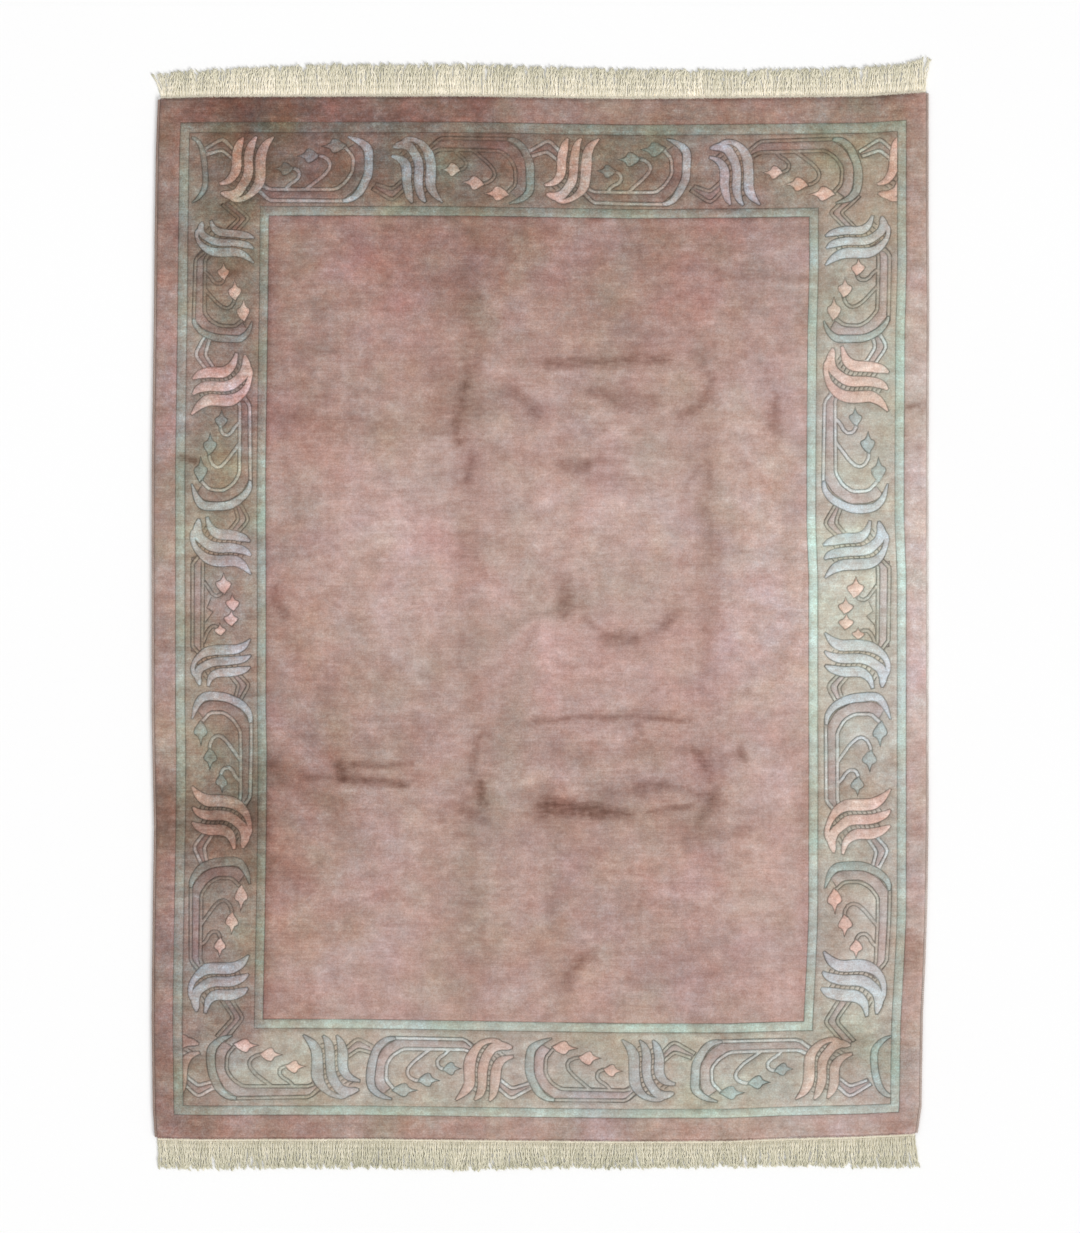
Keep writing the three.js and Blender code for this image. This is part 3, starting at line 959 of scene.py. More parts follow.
def mark_strength(points, x0, y0, x1, y1, bend, first_width, second_width):
    """A soft stroke from one place to another, 1 on its middle line; bend is its sideways bow."""
    start = np.array((x0, y0)) * MM
    step = np.array((x1, y1)) * MM - start
    reach = np.linalg.norm(step)
    ahead = (points - start) @ step / reach
    aside = (points - start) @ np.array((step[1], -step[0])) / reach
    share = np.clip(ahead / reach, 0, 1)
    past = ahead - share * reach
    away = aside - 4 * bend * MM * share * (1 - share)
    width = (first_width + share * (second_width - first_width)) * MM
    reach = (away**2 + past**2) / width**2
    return (1 - MARK_HALO) * np.exp(-(reach**MARK_EDGE)) + MARK_HALO * np.exp(-reach / MARK_HALO_REACH**2)


def strokes(points, table):
    """The sum of straight, even strokes, each as strong as its row says at the end."""
    return sum(most * mark_strength(points, *ends, 0, width, width) for *ends, width, most in table)


def ripples(points, height, shortest, longest, seed):
    """Gentle waves in many directions."""
    draw = np.random.default_rng(seed)
    total = 0
    for _ in range(WAVES_ADDED):
        heading = draw.uniform(0, 2 * math.pi)
        wave = draw.uniform(shortest, longest)
        ahead = points @ np.array((math.cos(heading), math.sin(heading)))
        total = total + np.sin(2 * math.pi * (ahead / wave + draw.uniform()))
    return height * total / WAVES_DIVIDED


def strayed(points):
    """Points moved a little, so that the marks have uneven shapes."""
    moves = [ripples(points, MARK_STRAY, *MARK_STRAY_WAVES, seed) for seed in MARK_STRAY_SEEDS]
    return points + np.column_stack(moves)


def painted_nap_shade_and_sheen(points):
    """Painted shade and sheen of the marks in the nap: how much lighter or darker they are. Dark marks that
    meet don't add up.
    """
    points = strayed(points)
    tones = np.array([tone * mark_strength(points, *mark) for *mark, tone in PAINTED_NAP_MARKS])
    dark = np.sqrt((np.minimum(tones, 0) ** 2).sum(axis=0))
    return np.maximum(tones, 0).sum(axis=0) - MARK_DEPTH * dark


def painted_light_and_shade(points):
    """Painted light and shade: how light or dark the cloth looks on each side and along its length, blended
    where two sides meet, with the wide patches added.
    """
    x, y = points[:, 0], points[:, 1]
    depths = {
        "left": x + HALF[0],
        "right": HALF[0] - x,
        "bottom": y + HALF[1],
        "top": HALF[1] - y,
    }
    stations_along = np.array(PAINTED_LENGTH_SHADES["at"]) * MM
    along = {column: np.interp(y, stations_along, PAINTED_LENGTH_SHADES[column]) for column in ("sides", "field")}
    total = 0
    share = 0
    for side, depth in depths.items():
        lines = LINES[side]
        middles = np.concatenate(([0], lines)) + np.append(np.diff(lines, prepend=0), FIELD_BLEND) / 2
        tone = np.interp(depth, [*middles, lines[-1] + FIELD_FADE], [*PAINTED_SIDE_SHADES[side], 0])
        in_field = np.clip((depth - lines[-1]) / FIELD_BLEND, 0, 1)
        if side in ("left", "right"):
            tone = tone + along["sides"] * (1 - in_field)
        tone = tone + along["field"] * in_field
        weight = np.exp(-depth / MITRE_BLEND)
        total = total + weight * tone
        share = share + weight
    return total / np.maximum(share, TINY) + strokes(points, SHADE_PATCHES)


def clip_share(lines):
    """How far the shears went down: 1 on a clipped line's bed, 0 past its shoulders."""
    return np.clip(1 - lines / CLIP_HALF, 0, 1)


def pile_height(points, lines):
    """The height of the clipped pile above the floor."""
    edge = (HALF - np.abs(points)).min(axis=1)
    roll = np.clip(1 - edge / RIM_ROLL, 0, 1)
    waves = sum(ripples(points, *(size * MM for size in sizes), seed) for *sizes, seed in WAVES)
    inner = np.clip(edge / RIM_ROLL, 0, 1)
    clip = CLIP_DEPTH * clip_share(lines)
    return THICKNESS - RIM_DROP * roll**2 - clip + inner * (strokes(points, CREASES) * MM + waves)


class Drawing:
    """Lines and loose points that Blender's triangulation keeps as edges and corners."""

    def __init__(self):
        self.points = []
        self.edges = []

    def add_line(self, points, closed=True, kept=None):
        """Adds a line, or the stretches of it whose points are kept."""
        start = len(self.points)
        count = len(points)
        kept = np.ones(count, bool) if kept is None else kept
        ids = start + np.cumsum(kept) - 1
        self.points.extend(Vector(p) for p in points[kept])
        ends = range(count) if closed else range(count - 1)
        self.edges.extend((ids[k], ids[(k + 1) % count]) for k in ends if kept[k] and kept[(k + 1) % count])

    def add_motif(self, motif, by, above):
        """Adds a motif's outlines, moved sideways, where they show in the ground or just outside it."""
        for outline in motif.outlines:
            moved = beside(outline, by, motif.closed) if by else outline
            guards = guard_distances(moved)
            shows = (guards[1] < LINE_STEP) & (guards[2] > -LINE_STEP) & ~covered(moved, above)
            self.add_line(moved, motif.closed, shows)

    def add_loose(self, points):
        self.points.extend(Vector(p) for p in points)

    def triangles(self):
        """Corners as an array and faces as triples of them."""
        edges = [(int(a), int(b)) for a, b in self.edges]
        corners, _, faces, *_ = delaunay_2d_cdt(self.points, edges, [], 0, WELD, False)
        return np.array([tuple(corner) for corner in corners]), [tuple(face) for face in faces]


def rectangle(low, high, step):
    """A rectangle's outline with points at the edge stations and at most a step apart."""
    columns = rim_places(low[0], high[0], END_EDGES["at"], step)
    rows = rim_places(low[1], high[1], SIDE_EDGES["at"], step)
    return np.array(
        [(x, low[1]) for x in columns[:-1]]
        + [(high[0], y) for y in rows[:-1]]
        + [(x, high[1]) for x in columns[:0:-1]]
        + [(low[0], y) for y in rows[:0:-1]]
    )


def rim_places(low, high, at, step):
    """Places between two ends that hold the stations between them."""
    inner = [place * MM for place in at if low + step / 3 < place * MM < high - step / 3]
    return divided(np.array([(low,), *((place,) for place in inner), (high,)]), step, False)[:, 0]


def staggered(low, high, step):
    """Loose points in staggered rows inside a rectangle."""
    points = []
    for k, y in enumerate(np.arange(low[1] + step / 2, high[1], step * ROW_SHARE)):
        first = low[0] + step * (0.5 + 0.5 * (k % 2))
        points.extend((x, y) for x in np.arange(first, high[0], step))
    return np.array(points)


def mark_points():
    """Extra points along the narrow marks, so that the mesh holds their shape."""
    points = []
    for x0, y0, x1, y1, bend, first_width, second_width, _ in PAINTED_NAP_MARKS:
        width = (first_width + second_width) / 2
        if width > NARROW_MARK:
            continue
        start, end = np.array((x0, y0)) * MM, np.array((x1, y1)) * MM
        reach = np.linalg.norm(end - start)
        across = np.array((end[1] - start[1], start[0] - end[0])) / reach
        for share in np.linspace(0, 1, max(2, math.ceil(reach / (width * MM)))):
            middle = start + share * (end - start) + 4 * bend * MM * share * (1 - share) * across
            points.extend(middle + across * width * MM * aside for aside in MARK_ROWS)
    points = np.array(points)
    return 2 * points - strayed(points)


def upper_drawing(motifs):
    """Everything that the pile's surface has to follow."""
    drawing = Drawing()
    for depth in (0, *RIM_STEPS):
        inset = depth * RIM_ROLL
        drawing.add_line(rectangle(-HALF + inset, HALF - inset, LINE_STEP))
    for line in GUARD_LINES:
        low, high = guard_rectangle(line)
        for aside in (-CLIP_HALF, 0, CLIP_HALF):
            drawing.add_line(rectangle(low + aside, high - aside, LINE_STEP))
    for k, motif in enumerate(motifs):
        for aside in (-CLIP_HALF, 0, CLIP_HALF):
            drawing.add_motif(motif, aside, motifs[k + 1:])
    ground = staggered(*guard_rectangle(1), LOOSE_STEP)
    field_low, field_high = guard_rectangle(3)
    inside = ((ground > field_low) & (ground < field_high)).all(axis=1)
    ground = ground[~inside]
    band = staggered(-HALF + RIM_ROLL, HALF - RIM_ROLL, LOOSE_STEP)
    band = band[guard_distances(band)[0] > 0]
    field = staggered(field_low, field_high, LOOSE_STEP)
    for loose in (ground, band, field, mark_points()):
        away = np.minimum(*carved(loose, motifs)[1:])
        edge = (HALF - np.abs(loose)).min(axis=1)
        drawing.add_loose(loose[(away > CLEAR_OF_LINES) & (edge > RIM_ROLL + CLEAR_OF_LINES / 2)])
    return drawing


def lower_drawing(motifs):
    """The pattern as it shows in the knots on the back, without the clipping."""
    drawing = Drawing()
    drawing.add_line(rectangle(-HALF, HALF, LINE_STEP))
    for line in GUARD_LINES:
        drawing.add_line(rectangle(*guard_rectangle(line), UNDERSIDE_STEP))
    for k, motif in enumerate(motifs):
        if motif.closed:
            drawing.add_motif(motif, 0, motifs[k + 1:])
    loose = staggered(-HALF, HALF, UNDERSIDE_STEP)
    drawing.add_loose(loose[np.minimum(*carved(loose, motifs)[1:]) > CLEAR_OF_LINES])
    return drawing


def mesh_object(name, mesh):
    """A new object that shows a mesh."""
    obj = bpy.data.objects.new(name, mesh)
    bpy.context.scene.collection.objects.link(obj)
    return obj


def finished(shaped, name):
    """The mesh of what has been shaped."""
    mesh = bpy.data.meshes.new(name)
    shaped.to_mesh(mesh)
    shaped.free()
    return mesh


def shade_smooth(mesh):
    mesh.polygons.foreach_set("use_smooth", np.ones(len(mesh.polygons), bool))


def face_dyes(centres, motifs, colours):
    """A linear colour with alpha for every face."""
    names, *_ = carved(centres, motifs)
    table = {name: getattr(colours, name)[:] for name in RugColours.__annotations__}
    # Dyes that take only a share of the painted light and shade have the rest taken back out here
    aloof = np.array([1 - PAINTED_SHADE_SHARES.get(name, 1) for name in names])
    dyes = np.array([table[name] for name in names])
    dyes *= np.exp(-(aloof * painted_light_and_shade(centres))[:, None] * DARKENING)
    return np.column_stack((dyes, np.ones(len(dyes))))


def cloth_mesh(motifs, colours):
    """The knotted cloth: its carved surface, its rim and the flat back."""
    upper, upper_faces = upper_drawing(motifs).triangles()
    lower, lower_faces = lower_drawing(motifs).triangles()
    _, motif_lines, stripe_lines = carved(upper, motifs)
    heights = pile_height(upper, np.minimum(motif_lines, stripe_lines))
    # How far the clipped lines are darkened: darker outline wool, with painted shade in the grooves
    clipped = np.maximum(clip_share(motif_lines), STRIPE_LINE_TONE * clip_share(stripe_lines))
    true_places = np.vstack((upper, lower))
    points = np.column_stack((on_cloth(true_places), np.concatenate((heights, np.zeros(len(lower))))))
    faces = upper_faces + [tuple(corner + len(upper) for corner in face[::-1]) for face in lower_faces]

    mesh = bpy.data.meshes.new("rug_cloth")
    mesh.from_pydata(points.tolist(), [], faces)
    centres = true_places[np.array(faces)].mean(axis=1)
    dyes = face_dyes(centres, motifs, colours)
    add_attribute(mesh, "clipped", np.concatenate((clipped, np.zeros(len(lower)))))
    # Painted shade and sheen of the nap marks, and painted light and shade of the sides
    add_attribute(mesh, "nap", np.concatenate((painted_nap_shade_and_sheen(upper), np.zeros(len(lower)))))
    add_attribute(mesh, "shade", painted_light_and_shade(true_places))
    dye = mesh.attributes.new("dye", "FLOAT_COLOR", "CORNER")
    dye.data.foreach_set("color", np.repeat(dyes, 3, axis=0).ravel())
    close_rim(mesh, colours)
    shade_smooth(mesh)
    return mesh


def add_attribute(mesh, name, values):
    """A number for each point of a mesh."""
    layer = mesh.attributes.new(name, "FLOAT", "POINT")
    layer.data.foreach_set("value", np.asarray(values, np.float32))


def close_rim(mesh, colours):
    """Draws the surface's rim down in steps to meet the back."""
    shaped = bmesh.new()
    shaped.from_mesh(mesh)
    middle = Vector((*CENTRE, 0))
    rim = [e for e in shaped.edges if e.is_boundary and e.verts[0].co.z > FOUNDATION]
    dye = shaped.loops.layers.float_color["dye"]
    inset_now = 0
    for height, inset, dye_name in RIM_FOOT:
        made = bmesh.ops.extrude_edge_only(shaped, edges=rim)["geom"]
        rim = [e for e in made if isinstance(e, bmesh.types.BMEdge) and e.is_boundary]
        for vertex in {v for e in rim for v in e.verts}:
            place = vertex.co - middle
            place.x *= 1 - (inset - inset_now) / HALF[0]
            place.y *= 1 - (inset - inset_now) / HALF[1]
            vertex.co = (middle.x + place.x, middle.y + place.y, height)
        inset_now = inset
        for face in (f for f in made if isinstance(f, bmesh.types.BMFace)):
            for loop in face.loops:
                loop[dye] = (*getattr(colours, dye_name), 1)
    foot = [v for v in shaped.verts if v.is_boundary]
    bmesh.ops.remove_doubles(shaped, verts=foot, dist=RIM_WELD)
    shaped.to_mesh(mesh)
    shaped.free()


# Cords, woven ends and fringes


def copies(master, count):
    """A mesh with a number of copies of one, copy after copy."""
    joined = bmesh.new()
    for _ in range(count):
        joined.from_mesh(master)
    return finished(joined, master.name)


def set_places(mesh, places):
    mesh.vertices.foreach_set("co", np.asarray(places, np.float32).ravel())
    mesh.update()


def get_places(mesh):
    places = np.empty(len(mesh.vertices) * 3, np.float32)
    mesh.vertices.foreach_get("co", places)
    return places.reshape(-1, 3).astype(float)


def strand_mesh(name, rings):
    """A plied strand of unit length along +Y and unit radius, flattened and twisted, with closed ends."""
    shaped = bmesh.new()
    flat = Matrix.Diagonal((1, STRAND_FLAT, 1, 1))
    upright = Matrix.Rotation(math.pi / 2, 4, "X")
    twist = Matrix.Rotation(STRAND_TWIST, 3, "Y")
    bmesh.ops.create_circle(shaped, segments=STRAND_SIDES, radius=1, cap_ends=True, matrix=upright @ flat)
    end = shaped.faces[:]
    for ring in range(1, rings):
        made = bmesh.ops.extrude_face_region(shaped, geom=end)["geom"]
        if ring > 1:
            bmesh.ops.delete(shaped, geom=[f for f in end if f.is_valid], context="FACES_ONLY")
        end = [f for f in made if isinstance(f, bmesh.types.BMFace)]
        ring_points = [v for v in made if isinstance(v, bmesh.types.BMVert)]
        bmesh.ops.translate(shaped, verts=ring_points, vec=(0, 1 / (rings - 1), 0))
        bmesh.ops.rotate(shaped, verts=ring_points, cent=(0, 0, 0), matrix=twist)
    bmesh.ops.recalc_face_normals(shaped, faces=shaped.faces[:])
    return finished(shaped, name)


def laid_along(master, path, radius):
    """The master strand's points, laid along a path of one point and one radius for each of its rings."""
    own = get_places(master)
    ring = np.rint(own[:, 1] * (len(path) - 1)).astype(int)
    along = np.gradient(path, axis=0)
    along /= np.linalg.norm(along, axis=1)[:, None]
    aside = np.column_stack((along[:, 1], -along[:, 0], np.zeros(len(path))))
    aside /= np.linalg.norm(aside, axis=1)[:, None]
    up = np.cross(aside, along)
    section = own * radius[ring, None]
    return path[ring] + section[:, :1] * aside[ring] + section[:, 2:] * up[ring]


def spread(draw, deviation, limit):
    """A draw from a bell curve round zero that is cut off at a limit."""
    return np.clip(draw.normal(0, deviation), -limit, limit)


def fringe_mesh(end, side, sizes):
    """Loose warp ends that curl and lie over each other in a thick, uneven row."""
    draw = np.random.default_rng(11 if end > 0 else 12)
    rings = sizes.strand_rings
    master = strand_mesh(f"fringe_cotton_{side}", rings)
    own = get_places(master)
    count = round(WIDTH / sizes.strand_pitch)
    share = np.linspace(0, 1, rings)
    heads = np.arange(0, count + TUFT, TUFT)
    tuft = np.interp(np.arange(count), heads, draw.normal(0, 1, len(heads)))
    places = []
    shades = []
    for k in range(count):
        x = -HALF[0] + (k + 0.5 + draw.uniform(-0.4, 0.4)) * WIDTH / count
        reach = stations(FRINGE_ENDS, x, side) - sizes.woven_end
        reach += (1 + spread(draw, *STRAND_LONGER) - abs(spread(draw, *STRAND_SHORTER))) * MM
        lean = stations(FRINGE_ENDS, x, f"{side}_lean")
        lean += (TUFT_LEAN * tuft[k] + spread(draw, *STRAND_LEAN)) * MM
        waves = share * draw.uniform(*CRIMPS) * 2 * math.pi + draw.uniform(0, 2 * math.pi)
        slow = share * draw.uniform(*SWAYS) * 2 * math.pi + draw.uniform(0, 2 * math.pi)
        crimp = draw.uniform(*CRIMP_REACH) * MM * np.sqrt(share)
        hook = spread(draw, *STRAND_HOOK) * MM
        curl = np.clip((share - HOOK_FROM) / (1 - HOOK_FROM), 0, 1) ** 2
        aside = lean * share**1.6 + crimp * np.sin(waves) + hook * curl
        aside += SWAY_REACH * MM * np.sin(slow) * share
        ahead = sizes.woven_end - STRAND_START * MM + reach * share - abs(hook) * 0.4 * curl
        layer = (STRAND_LAYER * (k % STRAND_LAYERS) + draw.uniform(0, STRAND_LIFT)) * MM
        radius = sizes.strand_radius * draw.uniform(*STRAND_RADII)
        rest = radius * 0.9 + layer * (1 - 0.5 * share) * np.clip(share * 6, 0, 1)
        height = rest + 0.6 * MM * (1 + np.sin(waves + 1.3)) * share
        start = on_cloth(np.array([(x, end * HALF[1])]))[0]
        path = np.column_stack((start[0] + aside, start[1] + end * ahead, height))
        thick = radius * np.interp(share, *STRAND_TAPER)
        places.append(laid_along(master, path, thick))
        tip_tone = TIP_TONE[0] + abs(draw.normal(0, TIP_TONE[1]))
        tone = FRINGE_TONES[side] + STRAND_TONE[0] + draw.normal(0, STRAND_TONE[1])
        shades.append(tone - tip_tone * own[:, 1] ** TIP_FADE)
    places = np.vstack(places)
    places[:, 2] = np.maximum(places[:, 2], 0)
    mesh = copies(master, count)
    set_places(mesh, places)
    add_attribute(mesh, "shade", np.concatenate(shades))
    if end < 0:
        mesh.flip_normals()
    shade_smooth(mesh)
    return mesh


def woven_end_mesh(end, side, sizes):
    """The narrow strip of plain weave between the pile and its fringe."""
    shaped = bmesh.new()
    columns = round(WIDTH / (sizes.strand_pitch / 2))
    bmesh.ops.create_grid(shaped, x_segments=columns, y_segments=WOVEN_ROWS, size=0.5)
    top = shaped.faces[:]
    made = bmesh.ops.extrude_face_region(shaped, geom=top)["geom"]
    foot = {v for v in made if isinstance(v, bmesh.types.BMVert)}
    for vertex in shaped.verts:
        x = vertex.co.x * WIDTH
        share = vertex.co.y + 0.5
        start = on_cloth(np.array([(x, end * HALF[1])]))[0]
        ahead = (WOVEN_START + share * (sizes.woven_end / MM - WOVEN_START)) * MM
        crown = 1 - abs(2 * share - 1) ** 4
        weave = math.cos(2 * math.pi * x / sizes.strand_pitch) * math.cos(math.pi * WOVEN_ROWS * share / 2)
        height = 0 if vertex in foot else (WOVEN_SIDE + WOVEN_CROWN * crown + WOVEN_RELIEF * weave) * MM
        vertex.co = (start[0], start[1] + end * ahead, height)
    bmesh.ops.recalc_face_normals(shaped, faces=shaped.faces[:])
    mesh = finished(shaped, f"woven_end_{side}")
    add_attribute(mesh, "shade", np.full(len(mesh.vertices), FRINGE_TONES[side] + WOVEN_TONE))
    shade_smooth(mesh)
    return mesh


def wrap_mesh(name):
    """One turn of the overcasting: a flattened yarn round the cord, of unit radius outside."""
    shaped = bmesh.new()
    outward = Matrix.Translation((1 - WRAP_YARN, 0, 0))
    bmesh.ops.create_circle(shaped, segments=5, radius=WRAP_YARN, matrix=outward)
    for vertex in shaped.verts:
        vertex.co.y *= WRAP_FLAT
    profile = shaped.verts[:] + shaped.edges[:]
    bmesh.ops.spin(
        shaped, geom=profile, cent=(0, 0, 0), axis=(0, 1, 0), dvec=(0, 0, 0), angle=2 * math.pi, steps=10,
        use_merge=True, use_normal_flip=False, use_duplicate=False,
    )
    bmesh.ops.remove_doubles(shaped, verts=shaped.verts[:], dist=1e-4)
    bmesh.ops.recalc_face_normals(shaped, faces=shaped.faces[:])
    return finished(shaped, name)


def side_cord_mesh(hand, side, sizes):
    """Wool overcasting down one side of the cloth, close under its pile."""
    draw = np.random.default_rng(21 if hand > 0 else 22)
    master = wrap_mesh(f"side_cord_{side}")
    count = round(LENGTH / sizes.wrap_pitch)
    own = get_places(master)
    places = []
    shades = []
    for k in range(count):
        true_place = np.array([(hand * HALF[0], -HALF[1] + (k + 0.5) * LENGTH / count)])
        middle = on_cloth(true_place)[0]
        # Painted light and shade of the sides, as on the cloth
        shades.extend(painted_light_and_shade(true_place).repeat(len(own)))
        radius = sizes.cord_radius * draw.uniform(*WRAP_RADII)
        slant = math.radians(WRAP_SLANT + draw.uniform(-WRAP_SLANT_SPREAD, WRAP_SLANT_SPREAD))
        x = middle[0] + hand * (sizes.cord_radius - CORD_TUCK)
        turned = own * radius
        ahead = turned[:, 1] + turned[:, 0] * math.tan(slant) * 0.5
        height = np.maximum(turned[:, 2] + sizes.cord_radius, 0)
        places.append(np.column_stack((x + turned[:, 0], middle[1] + ahead, height)))
    mesh = copies(master, count)
    set_places(mesh, np.vstack(places))
    add_attribute(mesh, "shade", shades)
    shade_smooth(mesh)
    return mesh


def pile_end_mesh(end, side, sizes, colours):
    """Tufts of pile that lean out over the woven end."""
    draw = np.random.default_rng(31 if end > 0 else 32)
    shaped = bmesh.new()
    bmesh.ops.create_cone(shaped, cap_ends=True, segments=5, radius1=1, radius2=0.45, depth=1)
    bmesh.ops.translate(shaped, verts=shaped.verts[:], vec=(0, 0, 0.5))
    master = finished(shaped, f"pile_end_{side}")
    own = get_places(master)
    count = round(WIDTH / sizes.knot)
    places = []
    shades = []
    width = sizes.knot * PILE_END_WIDTH
    side_spread, out_spread, up_spread = PILE_END_SPREAD
    for row, (inset, foot, reach) in enumerate(PILE_END_ROWS):
        for k in range(count):
            x = -HALF[0] + (k + 0.5 + PILE_END_STAGGER * row) * WIDTH / count * PILE_END_SHARE
            true_place = np.array([(x, end * (HALF[1] - inset * MM))])
            start = on_cloth(true_place)[0]
            tip_aside = draw.normal(0, side_spread)
            tip_out = end * (PILE_END_REACH + draw.normal(0, out_spread))
            tip = np.array((tip_aside, tip_out, reach + draw.normal(0, up_spread))) * MM
            aside = np.array((1, 0, 0))
            across = np.cross(tip / np.linalg.norm(tip), aside)
            places.append(
                (*start, foot * MM)
                + own[:, :1] * width * aside
                + own[:, 1:2] * width * 0.7 * across
                + own[:, 2:] * tip
            )
            # Painted light and shade of the sides, and painted light on the end tufts
            shades.extend(painted_light_and_shade(true_place).repeat(len(own)))
    mesh = copies(master, 2 * count)
    set_places(mesh, np.vstack(places))
    add_attribute(mesh, "shade", shades)
    add_attribute(mesh, "nap", np.full(len(shades), PILE_END_PAINTED_LIGHT))
    add_attribute(mesh, "clipped", np.zeros(len(shades)))
    dye = mesh.attributes.new("dye", "FLOAT_COLOR", "CORNER")
    dye.data.foreach_set("color", np.tile((*colours.band, 1), len(mesh.loops)))
    fixed = bmesh.new()
    fixed.from_mesh(mesh)
    bmesh.ops.recalc_face_normals(fixed, faces=fixed.faces[:])
    fixed.to_mesh(mesh)
    fixed.free()
    shade_smooth(mesh)
    return mesh


# Materials


class Shader:
    """A material's nodes, added from its textures to its surface."""

    def __init__(self, name):
        self.material = bpy.data.materials.new(name)
        self.material.use_nodes = True
        self.tree = self.material.node_tree
        self.surface = self.tree.nodes["Principled BSDF"]
        self.place = self.node("ShaderNodeTexCoord").outputs["Object"]

    def node(self, kind, inputs=(), **settings):
        made = self.tree.nodes.new(kind)
        for key, value in settings.items():
            setattr(made, key, value)
        for key, value in dict(inputs).items():
            self.put(made.inputs[key], value)
        return made

    def put(self, socket, value):
        if isinstance(value, bpy.types.NodeSocket):
            self.tree.links.new(value, socket)
        else:
            socket.default_value = value

    def math(self, operation, a, b=0.0):
        return self.node("ShaderNodeMath", {0: a, 1: b}, operation=operation).outputs[0]

    def attribute(self, name, output="Fac"):
        return self.node("ShaderNodeAttribute", attribute_name=name).outputs[output]

    def noise(self, scale, stretch=(1, 1, 1), detail=2.0, roughness=0.5):
        """Noise between -1 and 1, finer along an axis the more it is stretched."""
        placed = self.node("ShaderNodeMapping", {"Vector": self.place, "Scale": stretch}).outputs[0]
        settings = {"Vector": placed, "Scale": scale, "Detail": detail, "Roughness": roughness}
        noise = self.node("ShaderNodeTexNoise", settings).outputs["Fac"]
        return self.product(self.math("SUBTRACT", noise, 0.5), 4.0)

    def noises(self, *rows):
        """The sum of several noises. Each row is a weight and then what noise() is given."""
        return self.sum(*((self.noise(*settings), weight) for weight, *settings in rows))

    def product(self, a, b):
        return self.math("MULTIPLY", a, b)

    def sum(self, *terms):
        """The sum of (value, weight) pairs."""
        total = 0.0
        for value, weight in terms:
            total = self.math("ADD", self.product(value, weight), total)
        return total

    def toned(self, colour, tone, shares=DARKENING):
        """A colour made lighter or darker by a natural logarithm."""
        channels = [self.math("EXPONENT", self.product(tone, share)) for share in shares]
        factor = self.node("ShaderNodeCombineXYZ", dict(zip("XYZ", channels))).outputs[0]
        mixed = self.node("ShaderNodeVectorMath", {0: colour, 1: factor}, operation="MULTIPLY")
        return mixed.outputs[0]

    def bump(self, height, depth, strength=1.0):
        made = self.node("ShaderNodeBump", {"Height": height, "Distance": depth, "Strength": strength})
        self.put(self.surface.inputs["Normal"], made.outputs[0])

    def finish(self, colour, **numbers):
        self.put(self.surface.inputs["Base Color"], colour)
        for name, value in numbers.items():
            self.surface.inputs[name.replace("_", " ").title()].default_value = value
        return self.material


def pile_wool(sizes):
    """Cut wool pile: uneven dye lots across, painted light and shade of the sides, painted shade and sheen
    of the brushed nap, dark clipped lines (darker outline wool with painted shade in the grooves) and tuft
    heads.
    """
    shader = Shader("carved_pile")
    plain = (1, 1, 1)
    shade = shader.attribute("shade")
    depth = shader.math("ABSOLUTE", shade)
    grain = shader.noise(0.8 / sizes.knot, plain, 2.0, 0.7)
    uneven = shader.noises(
        # weight, scale, stretch, detail, roughness
        (0.05, 2.2),
        (0.13, 6, (1, 1.4, 1), 5.0, 0.6),
        (0.16, 17, (1, 1.6, 1), 5.0, 0.66),
        (0.15, 44, (1, 1.3, 1), 4.0, 0.68),
        (0.05, 1, (3, 95, 1), 3.0),
        (0.06, 1, (14, 330, 1), 3.0),
        (0.035, 1, (60, 3, 1), 3.0),
    )
    uneven = shader.sum((uneven, 1.0), (grain, 0.16))
    hairs = shader.noises((0.45, 26, (1, 4, 1), 5.0, 0.62), (0.3, 70, plain, 3.0))
    ragged = shader.math("MAXIMUM", shader.math("ADD", hairs, 1.0), 0.1)
    # Painted light and shade of the sides, painted shade and sheen of the nap marks, and the uneven dye
    # lots
    tone = shader.sum(
        (shade, 1.0),
        (shader.product(shader.attribute("nap"), ragged), 1.0),
        (shader.product(uneven, shader.sum((depth, 0.9), (1.0, 1.0))), 1.0),
    )
    colour = shader.toned(shader.attribute("dye", "Color"), tone)
    warmth = shader.noises((1.2, 4, plain, 3.0), (0.9, 16, plain, 4.0), (0.9, 95, plain, 3.0))
    lilac = shader.noises((0.8, 3, plain, 3.0), (0.6, 9, plain, 3.0))
    deeper = shader.sum((depth, 2.2), (1.0, 1.0))
    for tint, shares in ((warmth, (0.03, -0.02, -0.045)), (lilac, (0.02, -0.04, 0.025))):
        colour = shader.toned(colour, shader.product(tint, deeper), shares)
    # Dark clipped lines: darker outline wool, with painted shade in the carved grooves
    lines = shader.sum(
        (shader.noises((0.4, 50, plain, 3.0), (0.35, 12)), 1.0),
        (shader.product(shade, shade), -0.4),
        (1.0, 1.0),
    )
    clipping = shader.product(shader.attribute("clipped"), lines)
    colour = shader.toned(colour, clipping, (-0.72, -0.70, -0.72))
    tufts = shader.node(
        "ShaderNodeTexVoronoi", {"Vector": shader.place, "Scale": 1 / sizes.knot, "Randomness": 0.75}
    ).outputs["Distance"]
    fibres = shader.noise(900, plain, 2.0, 0.7)
    shader.bump(shader.sum((tufts, -0.6), (fibres, 0.25), (grain, 0.3)), 0.5 * MM, 0.7)
    return shader.finish(colour, roughness=0.92, sheen_weight=0.12, sheen_roughness=0.5)


